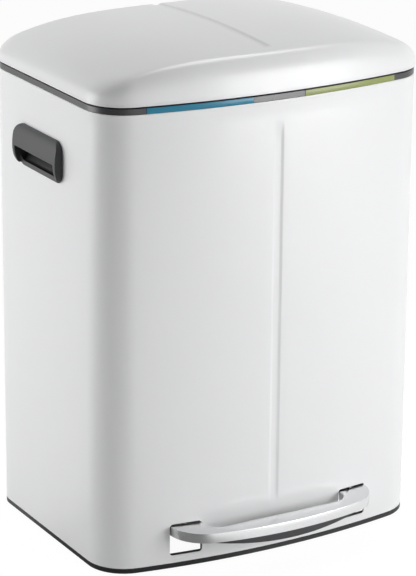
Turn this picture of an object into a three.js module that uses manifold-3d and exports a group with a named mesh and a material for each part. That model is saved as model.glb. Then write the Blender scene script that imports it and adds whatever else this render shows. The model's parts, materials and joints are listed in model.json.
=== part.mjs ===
// Double recycling bin with one pedal, two lift-out buckets and one lid.
// Millimetres, +Z up, the pedal towards -Y. The origin is on the floor, below the middle of
// the whole object. Each mesh is one piece as it would lie on the bench.

import * as THREE from 'three';
import { mergeVertices } from 'three/addons/utils/BufferGeometryUtils.js';
import Module from 'manifold-3d';

const wasm = await Module();
wasm.setup();

// ---------------------------------------------------------------- driving dimensions

// Body: a sheet-steel tube with a bowed front.
const bodyWidth = 435;
const bodyDepth = 311;
const bodyTop = 560;
const frontBow = 25;
const frontCornerRadius = 49;
const rearCornerRadius = 33;
const sheet = 0.8;
const grooveWidth = 14;
const grooveDepth = 1.6;
const grooveFloorWidth = 7;
const bodyGrooveBottom = 57;
const bodyGrooveTopDrop = 22;
const grooveRunOut = 26;

// Base ring with its feet, and the platform that the buckets stand on.
const baseHeight = 7.2;
const baseWall = 2.6;
const baseUpstandTop = 30;
const baseFlangeWidth = 16;
const baseFlangeTop = 4.8;
const footRadius = 5.5;
const footHeight = 2.7;
const footStandsProud = 0.8;
const footSideAngle = 0.9;
const platformTop = 66.5;
const platformThickness = 2.5;
const platformWall = 2.6;
const platformRibWidth = 6;
const platformRibHeight = 7;
const rodWindowHalfWidth = 70;

// Ring on top of the body and its two coloured markers.
const ringHeight = 7.4;
const ringBand = 3.6;
const ringLedge = 12;
const ringLedgeThickness = 2.5;
const ringSkirtDepth = 15;
const markerInnerEdge = 34;
const markerOuterEdge = 166;
const markerThickness = 1.2;
const markerProud = 0.5;

// Lid: pressed steel over a plastic liner.
const lidGap = 1.6;
const lidOverhang = 1.2;
const lidSkirt = 5.5;
const lidShoulder = 21;
const lidShoulderPower = 2.5;
const lidCrownHeight = 50.8;
const lidSideFall = 20;
const lidSideFallPower = 3.3;
const lidEndFall = 5;
const lidGrooveFrontInset = 26.5;
const lidGrooveRearInset = 5.5;
const lidGrooveDepth = 1.4;
const linerThickness = 1.6;
const linerInset = 2.4;
const linerDrop = 4;
const linerRimThickness = 2;
const bufferRadius = 3.2;
const bufferX = 120;

// Hinge, crank and push rod.
const lidSwing = THREE.MathUtils.degToRad(80);
const hingeRise = 4;
const hingePinRadius = 2.5;
const hingeEarRadius = 8;
const hingeEarWidth = 13;
const hingeBlockHalfWidth = 60;
const hingeBlockDrop = 38;
const hingePlateThickness = 5.3;
const leafThickness = 8;
const leafReach = 38;
const crankPinRadius = 2.5;
const crankCheekRadius = 5.5;
const crankCheekThickness = 3.5;
const yokeThickness = 5;
const yokeWall = 2.6;
const yokeSlotPlay = 0.9;
const rodRadius = 3;
const rodInset = 13.2;
const rodSleeveRadius = 6;
const rodSleeveLength = 12;
const rodFootLength = 20;
const rodGuideHeights = { lower: 210, upper: 430 };
const rodGuideThickness = 10;
const rodGuideHalfWidth = 13;
const screwRadius = 1.9;
const screwHeadRadius = 4;
const screwHeadHeight = 2.4;
const hingeScrewX = 27;
const hingeScrewDrop = 9;
const leafScrewX = 30;
const leafScrewReach = 31;
const linerBossRadius = 5;

// Soft-close damper beside the push rod.
const damperX = 45;
const damperRadius = 9;
const damperBottom = 110;
const damperLength = 82;
const damperRodRadius = 2.5;
const damperRodLength = 102;
const damperFootRadius = 4;
const damperFootHeight = 7;
const damperSides = 16;
const damperStrapThickness = 2.4;
const damperStrapHeight = 16;

// Pedal, its lever frame and axle.
const pedalSwing = THREE.MathUtils.degToRad(10.5);
const pedalTop = 55;
const pedalSkirt = 12;
const pedalWall = 1.5;
const pedalHalfWidth = 135.5;
const pedalArmWidth = 39;
const pedalProud = 45.5;
const pedalBow = 9;
const pedalCornerRadius = 46;
const pedalBarDepth = 24.5;
const pedalInnerRadius = 20;
const pedalArmReach = 37;
const pedalBevel = 1.2;
const pedalBelly = 10;
const pedalBellyHalfWidth = 104;
const slotSideClearance = 1;
const slotTopClearance = 2;
const slotBottom = 17;
const slotCornerRadius = 4;
const axleY = -53.5;
const axleZ = 34;
const axleRadius = 4;
const bushWall = 1.8;
const bushFlange = 1.2;
const bossWall = 2.6;
const leverWidth = 20;
const leverSheet = 2;
const leverDepth = 12;
const leverRearTop = 24;
const leverCrossDepth = 14;
const leverNose = 9;
const leverNoseDepth = 9;
const bracketThickness = 3;
const bracketHalfDepth = 15;
const bracketFoot = 18;
const bracketGap = 2.4;
const clipWidth = 1.2;
const clipRadius = 7.5;
const rivetRadius = 2;
const rivetHeadRadius = 3.8;
const rivetHeadHeight = 1.2;

// Side handles.
const handleLength = 112;
const handleHeight = 51;
const handleTopDrop = 52;
const handleCentreY = 21;
const handleCornerRadius = 13;
const handleRim = 4;
const handleRimThickness = 1.4;
const handlePocketDepth = 22;
const handleWall = 2;
const handleHoodProud = 10.5;
const handleMouthHeight = 24;

// Buckets with their wire bails.
const bucketGap = 8;
const bucketSideClearance = 1.2;
const bucketFrontInset = 35.5;
const bucketGuideClearance = 8.2;
const bucketRimDrop = 12.5;
const bucketTaper = 8;
const bucketCornerRadius = 26;
const bucketWall = 2;
const bucketFloor = 2.5;
const bucketLip = 6.3;
const bucketLipWall = 1.8;
const bucketLipDrop = 8.5;
const bailRadius = 2;
const bailHeight = 2.7;
const gripRimClearance = 1;
const bailArmInset = 1.2;
const bailCornerRadius = 14;
const bailLugHeight = 7;
const bailLugThickness = 2.6;
const bailLugHalfDepth = 6;
const gripRadius = 5;
const gripHalfLength = 42;

// Clearances.
const seatGap = 0.3;
const runningGap = 0.3;

// Facets.
const cornerSteps = 4;
const bowSteps = 6;
const sideSteps = 2;
const rearSteps = 4;
const roundSides = 12;
const smallSides = 8;
const bucketCornerSteps = 3;
const wireSides = 6;
const lidShoulderSteps = 6;
const lidCrownSteps = 4;
const linerShoulderSteps = 4;
const linerCrownSteps = 3;
const hoodSteps = 8;
const cheekSteps = 6;

// ---------------------------------------------------------------- places worked out from them

const halfWidth = bodyWidth / 2;
const halfDepth = bodyDepth / 2;
const rearInside = halfDepth - sheet;
const bodyGrooveTop = bodyTop - bodyGrooveTopDrop;
const ringTop = bodyTop + ringHeight;
const lidBottom = ringTop + lidGap;
const handleBottom = bodyTop - handleTopDrop - handleHeight;
const platformUnderside = platformTop - platformThickness;

const rodY = rearInside - rodInset;
const leverReach = rodY - axleY;
const padDrop = leverRearTop - axleZ;
const rodLift = leverReach * Math.tan(pedalSwing) + padDrop * (1 / Math.cos(pedalSwing) - 1);
const crankRadius = rodLift / (2 * Math.sin(lidSwing / 2));
const crankReachAtRest = crankRadius * Math.cos(lidSwing / 2);
const crankDrop = crankRadius * Math.sin(lidSwing / 2);
const hingeY = rodY + (crankRadius + crankReachAtRest) / 2;
const hingeZ = lidBottom + hingeRise;
const crankPinY = hingeY - crankReachAtRest;
const crankPinZ = hingeZ - crankDrop;

const leafHalfWidth = hingeBlockHalfWidth - hingeEarWidth - runningGap;
const leafBottom = lidBottom + 2 * seatGap;
const leafTop = leafBottom + leafThickness;
const padTop = leverRearTop + seatGap;

const bucketWidth = halfWidth - handlePocketDepth - bucketSideClearance - bucketLip - bucketGap;
const bucketFront = halfDepth - bucketFrontInset;
const bucketRear = rodY - rodSleeveRadius - bucketGuideClearance - bucketLip;
const bucketRimTop = bodyTop - bucketRimDrop;
const bailReach = bucketFront - bucketWall - gripRadius - gripRimClearance;

const pedalFrontY = -halfDepth - pedalProud;
const pedalBackY = pedalFrontY + pedalBarDepth;
const pedalUnderside = pedalTop - pedalSkirt;
const leverX = pedalHalfWidth - pedalArmWidth / 2;
const bracketX = pedalHalfWidth + bracketGap;

// ---------------------------------------------------------------- materials

const finish = (color, roughness, metalness) =>
  new THREE.MeshStandardMaterial({ color, roughness, metalness });

const whitePaint = finish(0xf1f1f1, 0.5, 0);
const blackPlastic = finish(0x3a3b3d, 0.55, 0);
const darkPlastic = finish(0x2b2c2e, 0.5, 0);
const bluePlastic = finish(0x3c97bd, 0.35, 0);
const greenPlastic = finish(0xa9bd7a, 0.35, 0);
const stainless = finish(0xb9bcbf, 0.3, 1);
const zincSteel = finish(0x9da1a3, 0.45, 1);
const blackRubber = finish(0x1b1b1b, 0.9, 0);
const nylon = finish(0xe6e3d8, 0.5, 0);
const bucketPlastic = finish(0x55585b, 0.6, 0);

// ---------------------------------------------------------------- making solids

const toSolid = (geometry) => {
  const bare = geometry.index ? geometry.toNonIndexed() : geometry.clone();
  bare.deleteAttribute('normal');
  bare.deleteAttribute('uv');
  const merged = mergeVertices(bare, 1e-4);
  return new wasm.Manifold(new wasm.Mesh({
    numProp: 3,
    vertProperties: merged.attributes.position.array,
    triVerts: Uint32Array.from(merged.index.array),
  }));
};

const toGeometry = (solid) => {
  const mesh = solid.getMesh();
  const geometry = new THREE.BufferGeometry();
  geometry.setAttribute('position', new THREE.BufferAttribute(mesh.vertProperties, 3));
  geometry.setIndex(new THREE.BufferAttribute(mesh.triVerts, 1));
  geometry.computeVertexNormals();
  return geometry;
};

const joined = (...solids) => solids.reduce((sum, solid) => sum.add(solid));
const cut = (solid, ...tools) => tools.reduce((rest, tool) => rest.subtract(tool), solid);

const shapeOf = (points, hole) => {
  const shape = new THREE.Shape(points);
  if (hole) shape.holes.push(new THREE.Path(hole));
  return shape;
};

// A flat outline pulled up from z0 to z1.
const prism = (points, z0, z1, hole) => {
  const geometry = new THREE.ExtrudeGeometry(shapeOf(points, hole), {
    depth: z1 - z0,
    bevelEnabled: false,
  });
  geometry.translate(0, 0, z0);
  return toSolid(geometry);
};

// An outline in X and Z pulled along Y.
const prismY = (points, y0, y1) => {
  const geometry = new THREE.ExtrudeGeometry(shapeOf(points), {
    depth: y1 - y0,
    bevelEnabled: false,
  });
  geometry.rotateX(Math.PI / 2);
  geometry.translate(0, y1, 0);
  return toSolid(geometry);
};

// An outline in Y and Z pulled along X.
const prismX = (points, x0, x1) => {
  const geometry = new THREE.ExtrudeGeometry(shapeOf(points), {
    depth: x1 - x0,
    bevelEnabled: false,
  });
  geometry.applyMatrix4(new THREE.Matrix4().set(0, 0, 1, x0, 1, 0, 0, 0, 0, 1, 0, 0, 0, 0, 0, 1));
  return toSolid(geometry);
};

const block = (x0, x1, y0, y1, z0, z1) => {
  const geometry = new THREE.BoxGeometry(x1 - x0, y1 - y0, z1 - z0);
  geometry.translate((x0 + x1) / 2, (y0 + y1) / 2, (z0 + z1) / 2);
  return toSolid(geometry);
};

const rodZ = (radius, z0, z1, x, y, sides = roundSides) => {
  const geometry = new THREE.CylinderGeometry(radius, radius, z1 - z0, sides);
  geometry.rotateX(Math.PI / 2);
  geometry.translate(x, y, (z0 + z1) / 2);
  return toSolid(geometry);
};

const rodX = (radius, x0, x1, y, z, sides = roundSides) => {
  const geometry = new THREE.CylinderGeometry(radius, radius, x1 - x0, sides);
  geometry.rotateZ(Math.PI / 2);
  geometry.translate((x0 + x1) / 2, y, z);
  return toSolid(geometry);
};

// A turned piece: profile points are [radius, height along the axis].
const turned = (profile, sides = roundSides) =>
  new THREE.LatheGeometry(profile.map(([r, h]) => new THREE.Vector2(r, h)), sides);

// Rings of equal length skinned one after the other, with a fan over the first and the last.
const skin = (rings) => {
  const count = rings[0].length;
  const positions = [];
  const indices = [];
  for (const ring of rings) for (const p of ring) positions.push(p.x, p.y, p.z);
  for (let i = 0; i + 1 < rings.length; i += 1) {
    for (let j = 0; j < count; j += 1) {
      const a = i * count + j;
      const b = i * count + (j + 1) % count;
      indices.push(a, b, b + count, a, b + count, a + count);
    }
  }
  const cap = (ring, first, up) => {
    const middle = ring.reduce((sum, p) => sum.add(p), new THREE.Vector3());
    middle.divideScalar(count);
    positions.push(middle.x, middle.y, middle.z);
    const centre = positions.length / 3 - 1;
    for (let j = 0; j < count; j += 1) {
      const a = first + j;
      const b = first + (j + 1) % count;
      if (up) indices.push(centre, a, b);
      else indices.push(centre, b, a);
    }
  };
  cap(rings[0], 0, false);
  cap(rings[rings.length - 1], (rings.length - 1) * count, true);
  const geometry = new THREE.BufferGeometry();
  geometry.setAttribute('position', new THREE.Float32BufferAttribute(positions, 3));
  geometry.setIndex(indices);
  return toSolid(geometry);
};

const at = (points, z) => points.map((p) => new THREE.Vector3(p.x, p.y, z));

// ---------------------------------------------------------------- outlines

const arcPoints = (cx, cy, radius, from, to, steps) => {
  const points = [];
  for (let i = 0; i <= steps; i += 1) {
    const angle = from + (to - from) * i / steps;
    points.push(new THREE.Vector2(cx + radius * Math.cos(angle), cy + radius * Math.sin(angle)));
  }
  return points;
};

const roundedRect = (x0, x1, y0, y1, radius, steps = 4) => [
  ...arcPoints(x1 - radius, y0 + radius, radius, -Math.PI / 2, 0, steps),
  ...arcPoints(x1 - radius, y1 - radius, radius, 0, Math.PI / 2, steps),
  ...arcPoints(x0 + radius, y1 - radius, radius, Math.PI / 2, Math.PI, steps),
  ...arcPoints(x0 + radius, y0 + radius, radius, Math.PI, 1.5 * Math.PI, steps),
];

// The body's plan: one shallow arc across the front, straight sides and back.
const bowRadius = (halfWidth ** 2 + frontBow ** 2) / (2 * frontBow);
const bowCentreY = bowRadius - halfDepth;
const frontCornerX = halfWidth - frontCornerRadius;
const frontCornerY = bowCentreY
  - Math.sqrt((bowRadius - frontCornerRadius) ** 2 - frontCornerX ** 2);
const bowHalfAngle = Math.atan2(frontCornerX, bowCentreY - frontCornerY);
const rearCornerX = halfWidth - rearCornerRadius;
const rearCornerY = halfDepth - rearCornerRadius;

const straight = (x0, y0, x1, y1, steps) => {
  const points = [];
  for (let i = 1; i < steps; i += 1) {
    points.push(new THREE.Vector2(x0 + (x1 - x0) * i / steps, y0 + (y1 - y0) * i / steps));
  }
  return points;
};

// The plan drawn in by inset all round, or let out by a negative one.
const plan = (inset) => {
  const down = -Math.PI / 2;
  const front = arcPoints(0, bowCentreY, bowRadius - inset,
    down - bowHalfAngle, down + bowHalfAngle, bowSteps);
  const frontRadius = frontCornerRadius - inset;
  const rearRadius = rearCornerRadius - inset;
  const side = halfWidth - inset;
  const back = halfDepth - inset;
  return [
    ...front,
    ...arcPoints(frontCornerX, frontCornerY, frontRadius, down + bowHalfAngle, 0, cornerSteps)
      .slice(1),
    ...straight(side, frontCornerY, side, rearCornerY, sideSteps),
    ...arcPoints(rearCornerX, rearCornerY, rearRadius, 0, Math.PI / 2, cornerSteps),
    ...straight(rearCornerX, back, -rearCornerX, back, rearSteps),
    ...arcPoints(-rearCornerX, rearCornerY, rearRadius, Math.PI / 2, Math.PI, cornerSteps),
    ...straight(-side, rearCornerY, -side, frontCornerY, sideSteps),
    ...arcPoints(-frontCornerX, frontCornerY, frontRadius,
      Math.PI, 1.5 * Math.PI - bowHalfAngle, cornerSteps).slice(0, -1),
  ];
};

const band = (outer, inner, z0, z1) => prism(plan(outer), z0, z1, plan(inner));
const frontFaceY = (x) => bowCentreY - Math.sqrt(bowRadius ** 2 - x ** 2);

// The pedal's plan: a bowed bar that turns into two arms.
const pedalPlan = (inset) => {
  const half = pedalHalfWidth - inset;
  const cornerX = pedalHalfWidth - pedalCornerRadius;
  const barRadius = (cornerX ** 2 + pedalBow ** 2) / (2 * pedalBow);
  const barCentreY = pedalFrontY + barRadius;
  const cornerY = barCentreY
    - Math.sqrt((barRadius - pedalCornerRadius) ** 2 - cornerX ** 2);
  const barHalfAngle = Math.atan2(cornerX, barCentreY - cornerY);
  const armEnd = -halfDepth + pedalArmReach - inset;
  const innerX = pedalHalfWidth - pedalArmWidth + inset;
  const innerY = pedalBackY - inset;
  const innerRadius = pedalInnerRadius + inset;
  const down = -Math.PI / 2;
  return [
    new THREE.Vector2(-half, armEnd),
    ...arcPoints(-cornerX, cornerY, pedalCornerRadius - inset, Math.PI, down + 2 * Math.PI
      - barHalfAngle, cornerSteps),
    ...arcPoints(0, barCentreY, barRadius - inset, down - barHalfAngle, down + barHalfAngle,
      bowSteps).slice(1, -1),
    ...arcPoints(cornerX, cornerY, pedalCornerRadius - inset, down + barHalfAngle, 0,
      cornerSteps),
    new THREE.Vector2(half, armEnd),
    new THREE.Vector2(innerX, armEnd),
    ...arcPoints(innerX - innerRadius, innerY + innerRadius, innerRadius, 0, down, cornerSteps),
    ...arcPoints(-innerX + innerRadius, innerY + innerRadius, innerRadius, down, -Math.PI,
      cornerSteps),
    new THREE.Vector2(-innerX, armEnd),
  ];
};

// ---------------------------------------------------------------- body

// The pressed groove down the middle of the front, for cutting: it runs out at both ends.
const bodyGroove = (inset) => {
  const face = -halfDepth + inset;
  const section = (z, depth) => [
    new THREE.Vector3(-grooveWidth / 2, face - grooveDepth, z),
    new THREE.Vector3(grooveWidth / 2, face - grooveDepth, z),
    new THREE.Vector3(grooveWidth / 2, face, z),
    new THREE.Vector3(grooveFloorWidth / 2, face + depth, z),
    new THREE.Vector3(-grooveFloorWidth / 2, face + depth, z),
    new THREE.Vector3(-grooveWidth / 2, face, z),
  ];
  return skin([
    section(bodyGrooveBottom, grooveDepth / 50),
    section(bodyGrooveBottom + grooveRunOut, grooveDepth),
    section(bodyGrooveTop - grooveRunOut, grooveDepth),
    section(bodyGrooveTop, grooveDepth / 50),
  ]);
};

const slotInner = pedalHalfWidth - pedalArmWidth - slotSideClearance;
const slotOuter = pedalHalfWidth + slotSideClearance;
const slotTop = pedalTop + slotTopClearance;
const handleMiddleZ = handleBottom + handleHeight / 2;
const handleHole = (margin, x0, x1) => prismX(roundedRect(
  handleCentreY - handleLength / 2 + margin,
  handleCentreY + handleLength / 2 - margin,
  handleBottom + margin,
  handleBottom + handleHeight - margin,
  Math.max(handleCornerRadius - margin, 1),
), x0, x1);

const hingeScrewZ = bodyTop - hingeScrewDrop;

const makeBodyShell = () => {
  const bottom = baseHeight + seatGap / 2;
  const outside = cut(prism(plan(0), bottom, bodyTop), bodyGroove(0));
  const inside = cut(prism(plan(sheet), bottom - 1, bodyTop + 1), bodyGroove(sheet));
  const tools = [inside];
  for (const side of [-1, 1]) {
    const [x0, x1] = side < 0 ? [-slotOuter, -slotInner] : [slotInner, slotOuter];
    const slot = roundedRect(x0, x1, slotBottom, slotTop, slotCornerRadius);
    tools.push(prismY(slot, -halfDepth - 1, -halfDepth + frontBow + 5));
    const wall = side * halfWidth;
    tools.push(handleHole(handleRim - seatGap, wall - 3, wall + 3));
    tools.push(screwHoleY(side * hingeScrewX, hingeScrewZ, rearInside - 1, halfDepth + 1));
  }
  return cut(outside, ...tools);
};

// A clearance hole for a screw that runs along Y.
const screwHoleY = (x, z, y0, y1) => {
  const geometry = new THREE.CylinderGeometry(
    screwRadius + runningGap, screwRadius + runningGap, y1 - y0, 12);
  geometry.translate(x, (y0 + y1) / 2, z);
  return toSolid(geometry);
};

// ---------------------------------------------------------------- base ring, feet, platform

const footPlaces = [];
for (const side of [-1, 1]) {
  const reachFront = frontCornerRadius - baseFlangeWidth / 2;
  const reachRear = rearCornerRadius - baseFlangeWidth / 2;
  footPlaces.push({
    name: `foot_front_${side < 0 ? 'left' : 'right'}`,
    x: side * (frontCornerX + reachFront * Math.sin(footSideAngle)),
    y: frontCornerY - reachFront * Math.cos(footSideAngle),
  });
  footPlaces.push({
    name: `foot_rear_${side < 0 ? 'left' : 'right'}`,
    x: side * (rearCornerX + reachRear * Math.sin(footSideAngle)),
    y: rearCornerY + reachRear * Math.cos(footSideAngle),
  });
}

const pedalWindow = (bottom, top) => {
  const windows = [-1, 1].map((side) => {
    const middle = side * (slotInner + slotOuter) / 2;
    const half = (slotOuter - slotInner) / 2 + slotSideClearance;
    return block(middle - half, middle + half, -halfDepth - 1, -halfDepth + frontBow + 14,
      bottom, top);
  });
  return joined(...windows);
};

const makeBaseRing = () => {
  const skirtFace = sheet + seatGap;
  const ring = joined(
    band(0, skirtFace + baseWall, footStandsProud, baseHeight),
    band(skirtFace, skirtFace + baseWall, baseHeight - 1, baseUpstandTop),
    band(skirtFace, baseFlangeWidth, footStandsProud, baseFlangeTop),
  );
  const pockets = footPlaces.map(({ x, y }) =>
    rodZ(footRadius + seatGap, footStandsProud - 1, footHeight + seatGap, x, y));
  return cut(ring, pedalWindow(slotBottom - 1, baseUpstandTop + 1), ...pockets);
};

const makeFoot = () => turned([
  [0, 0],
  [footRadius - 0.5, 0],
  [footRadius, 0.5],
  [footRadius, footHeight],
  [0, footHeight],
], 12).rotateX(Math.PI / 2);

const makePlatform = () => {
  const skirtFace = sheet + seatGap;
  const ribLength = bucketFront + bucketRear - 4 * bucketTaper;
  const ribRear = bucketRear - 2 * bucketTaper;
  const rib = [
    new THREE.Vector2(-platformRibWidth / 2, platformTop - 1),
    new THREE.Vector2(platformRibWidth / 2, platformTop - 1),
    new THREE.Vector2(platformRibWidth / 4, platformTop + platformRibHeight),
    new THREE.Vector2(-platformRibWidth / 4, platformTop + platformRibHeight),
  ];
  const tray = joined(
    prism(plan(skirtFace), platformUnderside, platformTop),
    band(skirtFace, skirtFace + platformWall, baseUpstandTop + seatGap, platformTop),
    prismY(rib, ribRear - ribLength, ribRear),
  );
  const rodWindow = block(-rodWindowHalfWidth, rodWindowHalfWidth, bucketRear + 7,
    rearInside - platformWall - 1, platformUnderside - 1, platformTop + 1);
  const rivetHoles = [-1, 1].map((side) => rodZ(rivetRadius + seatGap, platformUnderside - 1,
    platformTop + 1, side * bracketRivetX, axleY, 12));
  return cut(tray, pedalWindow(baseUpstandTop, slotTop + 3), rodWindow, bodyGroove(skirtFace),
    ...rivetHoles);
};

// ---------------------------------------------------------------- ring and markers

// The stretch of the front between two places across the width.
const frontStretch = (x0, x1, z0, z1) => block(x0, x1, -halfDepth - 5, 0, z0, z1);

const makeTopRing = () => {
  const skirtFace = sheet + seatGap;
  const bottom = bodyTop + seatGap / 2;
  const ring = joined(
    band(0, ringBand, bottom, ringTop),
    band(skirtFace, ringBand, bodyTop - ringSkirtDepth, bottom + 1),
    band(skirtFace, ringLedge, ringTop - ringLedgeThickness, ringTop),
  );
  const recess = band(-1, markerThickness + seatGap, bottom - 1, ringTop + 1);
  const recesses = [-1, 1].map((side) => {
    const [x0, x1] = side < 0
      ? [-markerOuterEdge, -markerInnerEdge] : [markerInnerEdge, markerOuterEdge];
    return recess.intersect(frontStretch(x0, x1, bottom - 1, ringTop + 1));
  });
  const crankNotch = block(-rodGuideHalfWidth - 5, rodGuideHalfWidth + 5, 0,
    halfDepth - ringBand - 0.2, bodyTop - ringSkirtDepth - 1, ringTop + 1);
  const holes = [-1, 1].map((side) =>
    screwHoleY(side * hingeScrewX, hingeScrewZ, halfDepth - ringBand - 1, halfDepth));
  return cut(ring, ...recesses, crankNotch, ...holes);
};

const makeMarker = (side) => {
  const z0 = bodyTop + seatGap;
  const z1 = ringTop - seatGap;
  const [x0, x1] = side < 0
    ? [-markerOuterEdge + seatGap, -markerInnerEdge - seatGap]
    : [markerInnerEdge + seatGap, markerOuterEdge - seatGap];
  return band(-markerProud, markerThickness, z0, z1).intersect(frontStretch(x0, x1, z0, z1));
};

// ---------------------------------------------------------------- lid

// Height of the lid's crown over the floor, falling to the sides and a little to the ends.
const crown = (x, y) => lidBottom + lidCrownHeight
  - lidSideFall * Math.abs(x / (halfWidth - lidShoulder)) ** lidSideFallPower
  - lidEndFall * (y / (halfDepth - lidShoulder)) ** 2;

const skirtTop = lidBottom + lidSkirt;

// The shoulder rises from the skirt to the crown as a squared-off quarter round.
const shoulderHeight = (top, along) => {
  const rise = (1 - (1 - along) ** lidShoulderPower) ** (1 / lidShoulderPower);
  return skirtTop + (top - skirtTop) * rise;
};

// The lid's form filled in, drawn in by inset and lowered by drop.
const lidForm = (inset, drop, bottom, shoulderSteps, crownSteps) => {
  const rings = [at(plan(inset), bottom), at(plan(inset), skirtTop)];
  for (let i = 1; i <= shoulderSteps; i += 1) {
    const along = i / shoulderSteps;
    rings.push(plan(inset + lidShoulder * along).map((p) => new THREE.Vector3(
      p.x, p.y, shoulderHeight(crown(p.x, p.y) - drop, along))));
  }
  const edge = rings[rings.length - 1];
  for (let i = 1; i < crownSteps; i += 1) {
    const scale = 1 - i / crownSteps;
    rings.push(edge.map((p) => new THREE.Vector3(
      p.x * scale, p.y * scale, crown(p.x * scale, p.y * scale) - drop)));
  }
  return skin(rings);
};

// Height of the lid's form over its middle line, down over the shoulders.
const lidMiddleHeight = (y, inset, drop) => {
  const along = Math.min((halfDepth - inset - Math.abs(y)) / lidShoulder, 1);
  return shoulderHeight(crown(0, y) - drop, along);
};

// The groove along the middle of the lid, with a run-out at both ends. It bends where the
// form's own facets bend, so its depth is the same all along.
const lidGroove = (inset, drop) => {
  const front = -halfDepth + lidGrooveFrontInset;
  const rear = halfDepth - lidGrooveRearInset;
  const edge = halfDepth - inset - lidShoulder;
  const bends = [];
  for (let i = 1 - lidCrownSteps; i <= lidCrownSteps; i += 1) bends.push(edge * i / lidCrownSteps);
  for (let i = 1; i < lidShoulderSteps; i += 1) bends.push(edge + lidShoulder * i / lidShoulderSteps);
  const inside = bends.filter((y) => y > front + lidGrooveDepth && y < rear - lidGrooveDepth);
  const half = grooveWidth / 2;
  const floorHalf = grooveFloorWidth / 2;
  return skin([front, ...inside, rear].map((y, i, all) => {
    const depth = i === 0 || i === all.length - 1 ? lidGrooveDepth / 50 : lidGrooveDepth;
    const surface = lidMiddleHeight(y, inset, drop);
    return [
      new THREE.Vector3(-half, y, surface + 3 * lidGrooveDepth),
      new THREE.Vector3(half, y, surface + 3 * lidGrooveDepth),
      new THREE.Vector3(half, y, surface),
      new THREE.Vector3(floorHalf, y, surface - depth),
      new THREE.Vector3(-floorHalf, y, surface - depth),
      new THREE.Vector3(-half, y, surface),
    ];
  }));
};

const leafNotch = (y0) => block(-leafHalfWidth - 1, leafHalfWidth + 1, y0, halfDepth + 5,
  lidBottom - 5, leafTop + 1);

const makeLidShell = () => {
  const outside = cut(lidForm(-lidOverhang, 0, lidBottom, lidShoulderSteps, lidCrownSteps),
    lidGroove(-lidOverhang, 0));
  const inside = cut(lidForm(sheet - lidOverhang, sheet, lidBottom - 1, lidShoulderSteps,
    lidCrownSteps), lidGroove(sheet - lidOverhang, sheet));
  return cut(outside, inside, leafNotch(0));
};

const linerBottom = lidBottom + 1.2;
const leafScrewY = hingeY - leafScrewReach;

const makeLidLiner = () => {
  const outer = linerInset - lidOverhang;
  const outside = lidForm(outer, linerDrop, linerBottom, linerShoulderSteps, linerCrownSteps);
  const inside = lidForm(outer + linerThickness, linerDrop + linerThickness, linerBottom - 1,
    linerShoulderSteps, linerCrownSteps);
  const rim = band(outer, ringLedge, linerBottom, linerBottom + linerRimThickness);
  const bosses = [-1, 1].map((side) => rodZ(linerBossRadius, leafTop + seatGap,
    lidBottom + lidCrownHeight, side * leafScrewX, leafScrewY, 16).intersect(outside));
  const pilotHoles = [-1, 1].map((side) => rodZ(screwRadius + seatGap, leafTop,
    leafTop + 11, side * leafScrewX, leafScrewY, 12));
  return cut(joined(cut(outside, inside), rim, ...bosses), leafNotch(halfDepth - ringLedge - 1),
    ...pilotHoles);
};

const makeBuffer = () => turned([
  [0, 0],
  [bufferRadius - 1, 0],
  [bufferRadius, 1],
  [bufferRadius, linerBottom - ringTop - 2 * seatGap],
  [0, linerBottom - ringTop - 2 * seatGap],
], smallSides).rotateX(Math.PI / 2);

// ---------------------------------------------------------------- hinge

const makeHingeBlock = () => {
  const face = halfDepth + seatGap;
  const bottom = bodyTop - hingeBlockDrop;
  const plateTop = hingeZ - hingeEarRadius - 3;
  const plate = prismY(roundedRect(-hingeBlockHalfWidth, hingeBlockHalfWidth, bottom, plateTop, 6),
    face, face + hingePlateThickness);
  const earProfile = [
    new THREE.Vector2(face, bottom + 8),
    new THREE.Vector2(face + hingePlateThickness, bottom + 8),
    ...arcPoints(hingeY, hingeZ, hingeEarRadius, -0.35, Math.PI, 12),
    new THREE.Vector2(face + 1.5, plateTop + 4),
    new THREE.Vector2(face, plateTop + 1),
  ];
  const ears = [-1, 1].map((side) => {
    const edges = [side * hingeBlockHalfWidth, side * (hingeBlockHalfWidth - hingeEarWidth)];
    return prismX(earProfile, Math.min(...edges), Math.max(...edges));
  });
  const bore = rodX(hingePinRadius + runningGap, -hingeBlockHalfWidth - 1, hingeBlockHalfWidth + 1,
    hingeY, hingeZ);
  const holes = [-1, 1].map((side) =>
    screwHoleY(side * hingeScrewX, hingeScrewZ, face - 1, face + hingePlateThickness + 1));
  return cut(joined(plate, ...ears), bore, ...holes);
};

const makeHingePin = () => {
  const reach = hingeBlockHalfWidth + 0.5;
  const headRadius = hingePinRadius + 1.6;
  return turned([
    [0, -reach - 1.5],
    [headRadius - 0.6, -reach - 1.5],
    [headRadius, -reach - 0.9],
    [headRadius, -reach],
    [hingePinRadius, -reach],
    [hingePinRadius, reach + 1],
    [hingePinRadius - 0.7, reach + 1.7],
    [0, reach + 1.7],
  ]).rotateZ(-Math.PI / 2);
};

// A pan-head screw: its head's underside at the origin, its shank towards +Z.
const makeScrew = (length) => turned([
  [0, -screwHeadHeight],
  [screwHeadRadius - 1, -screwHeadHeight],
  [screwHeadRadius, -screwHeadHeight * 0.4],
  [screwHeadRadius, 0],
  [screwRadius, 0],
  [screwRadius, length],
  [0, length],
], smallSides).rotateX(Math.PI / 2);

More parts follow.
